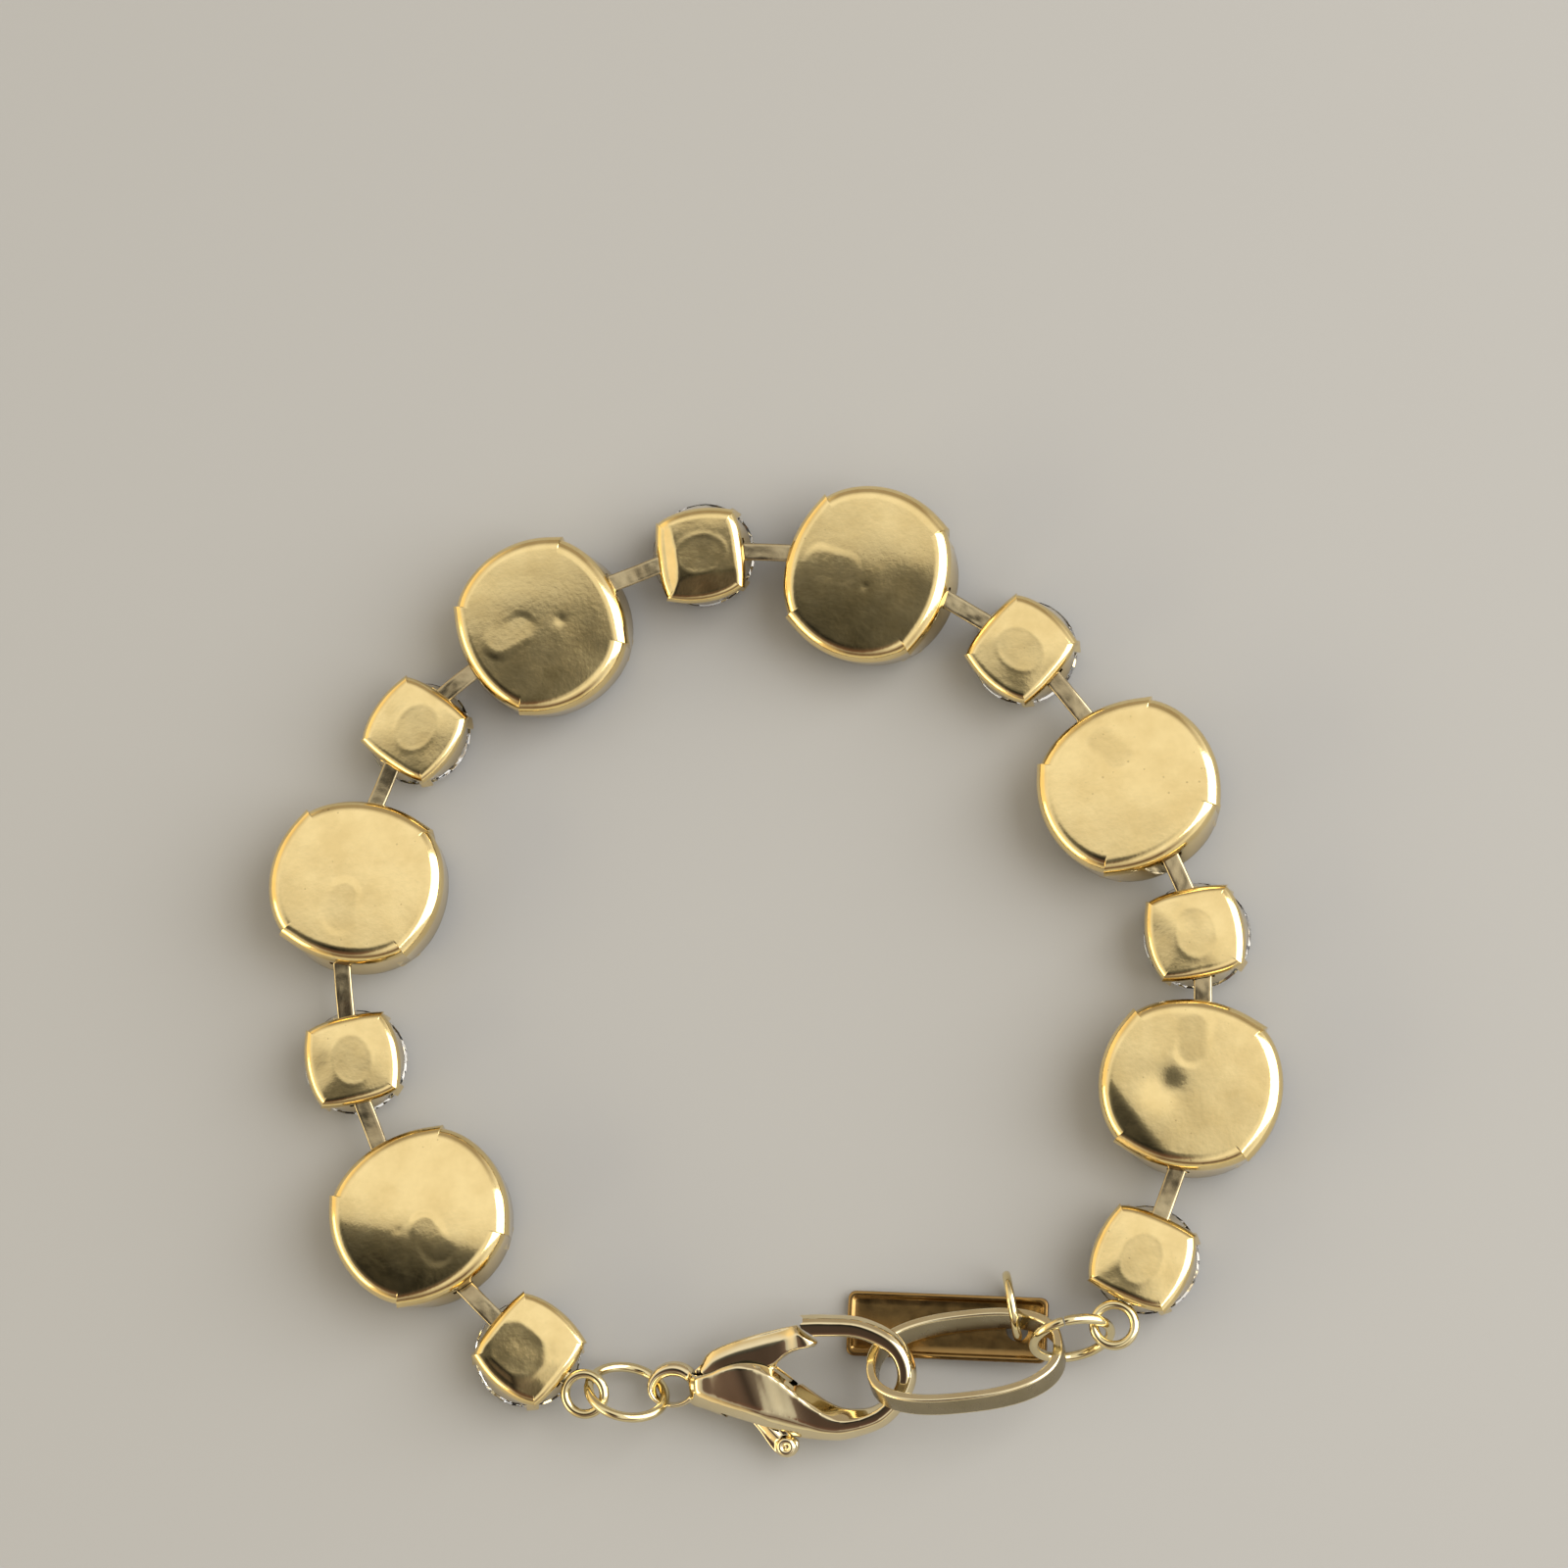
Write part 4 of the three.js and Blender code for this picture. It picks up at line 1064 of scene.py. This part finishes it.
def make_world():
    """A room with a bright ceiling, a window to the right, warm light from the left, a darker
    wall on the near side, and the dim shape of somebody leaning over the table."""
    world = bpy.data.worlds.new("room")
    bpy.context.scene.world = world
    world.use_nodes = True
    n = Nodes(world.node_tree)
    x, y, z = n.add("SeparateXYZ", {0: n.where("Generated")}).outputs
    near = n.mix(n.span(z, 0.12, 0.45, 0, 1), TABLE, NEAR_WALL)
    walls = n.mix(n.span(y, -0.5, 0.5, 0, 1), near, FAR_WALL)
    walls = n.mix(n.span(x, -0.4, -0.75, 0, 1), walls, LEFT)
    walls = n.mix(n.span(x, 0.4, 0.75, 0, 1), walls, RIGHT)
    room = n.mix(n.span(z, 0.5, 0.85, 0, 1), walls, CEILING)
    dim = DIM_SHAPE
    dx, dy = n.math("SUBTRACT", x, dim["x"]), n.math("SUBTRACT", y, dim["y"])
    dy = n.math("MAXIMUM", dy, n.math("MULTIPLY", dy, dim["stretch"]))
    away = n.math("SQRT", n.math("ADD", n.math("MULTIPLY", dx, dx), n.math("MULTIPLY", dy, dy)))
    radius, soft = dim["radius"], dim["soft"]
    core, rim, halo = dim["bright"]
    inner = n.span(away, dim["core"], radius, core, rim)
    outer = n.span(away, radius, radius + dim["halo"], halo, 1.0)
    step = n.span(away, radius - soft, radius + soft, 0, 1)
    above = n.span(z, 0.45, 0.65, 0, 1)
    strength = n.blend(above, 1.0, n.blend(step, inner, outer))
    shape = n.mix(n.span(y, -0.12, -0.4, 0, 1), UPPER_SHAPE, LOWER_SHAPE)
    inside = n.math("MULTIPLY", n.math("SUBTRACT", 1.0, step), above)
    back = n.add("Background", {"Color": n.mix(inside, room, shape), "Strength": strength})
    n.add("OutputWorld", {"Surface": back.outputs[0]})


def area_light(name, azimuth, elevation, distance, width, height, power, colour):
    """A soft light, placed by its direction from the bracelet and facing it."""
    data = bpy.data.lights.new(name, "AREA")
    data.shape = "RECTANGLE"
    data.size, data.size_y = width, height
    data.energy = power
    data.color = colour
    light = added(name, data)
    a, e = math.radians(azimuth), math.radians(elevation)
    direction = Vector((math.cos(a) * math.cos(e), math.sin(a) * math.cos(e), math.sin(e)))
    light.location = direction * distance
    light.rotation_mode = "QUATERNION"
    light.rotation_quaternion = direction.to_track_quat("Z", "Y")


# In metres. The floor lies just under the tables of the stones, and doesn't touch them.
FLOOR = {"half": 3.0, "drop": 0.00003}
# In degrees, millimetres and, for the distance, metres.
CAMERA = {"tilt": 13.5, "turn": 40, "target": (0.6, 13.0, 0), "distance": 0.3, "lens": 101.25}


def make_floor():
    """A wide flat floor."""
    half, z = FLOOR["half"], -FLOOR["drop"]
    mesh = bpy.data.meshes.new("floor")
    corners = [(-half, -half, z), (half, -half, z), (half, half, z), (-half, half, z)]
    mesh.from_pydata(corners, [], [(0, 1, 2, 3)])
    floor = added("floor", mesh)
    mesh.materials.append(new_material("floor", lambda n: {
        "Base Color": (0.38, 0.378, 0.372, 1.0), "Roughness": 0.85, "Specular IOR Level": 0.2}))


def make_camera():
    """Almost straight down, from a little towards the clasp and the right."""
    tilt, turn = math.radians(CAMERA["tilt"]), math.radians(CAMERA["turn"])
    back = Vector((math.sin(tilt) * math.sin(turn), -math.sin(tilt) * math.cos(turn),
                   math.cos(tilt)))
    data = bpy.data.cameras.new("camera")
    data.sensor_width = 36
    data.lens = CAMERA["lens"]
    data.clip_start = 0.01
    camera = added("camera", data)
    origin = Vector(CAMERA["target"]) * MM + back * CAMERA["distance"]
    camera.matrix_world = place_of(origin, Vector((0, 1, 0)).cross(back), back)
    bpy.context.scene.camera = camera


# ---------- assembly ----------

metals = {name: gold(name, *row) for name, row in METALS.items()}
glass = crystal("crystal")

chain, places = setting_places()
for (cup, number), place in zip(chain, places):
    make_setting(cup, number, place, metals["cup_gold"], metals["prong_gold"], glass)
for number in range(1, 13):
    make_strip(number, metals["strip_gold"])
make_end_ring("end_ring_left", places[0], -1, 14, metals["ring_gold"])
make_end_ring("end_ring_right", places[-1], 1, 0, metals["ring_gold"])
make_ring("jump_ring_left", JUMP_RING, 200, metals["ring_gold"])
make_ring("jump_ring_right", JUMP_RING, 200, metals["ring_gold"])
make_ring("tag_ring", TAG_RING, 60, metals["ring_gold"])
make_link(metals["link_shaded_gold"], metals["link_rim_highlit_gold"])
make_tag(metals["tag_painted_dark_gold"])
make_clasp(metals["clasp_gold"])
pin = frame["nodes"]["clasp_pin"]
pin.data.materials.clear()
pin.data.materials.append(metals["clasp_gold"])

make_floor()
make_world()
area_light("window", azimuth=8, elevation=34, distance=0.6, width=0.6, height=0.8, power=5.2,
           colour=(1.0, 0.99, 0.96))
area_light("lamp", azimuth=200, elevation=22, distance=0.6, width=0.5, height=0.2, power=0.9,
           colour=(1.0, 0.92, 0.64))
make_camera()
bpy.context.scene.view_settings.view_transform = "Standard"
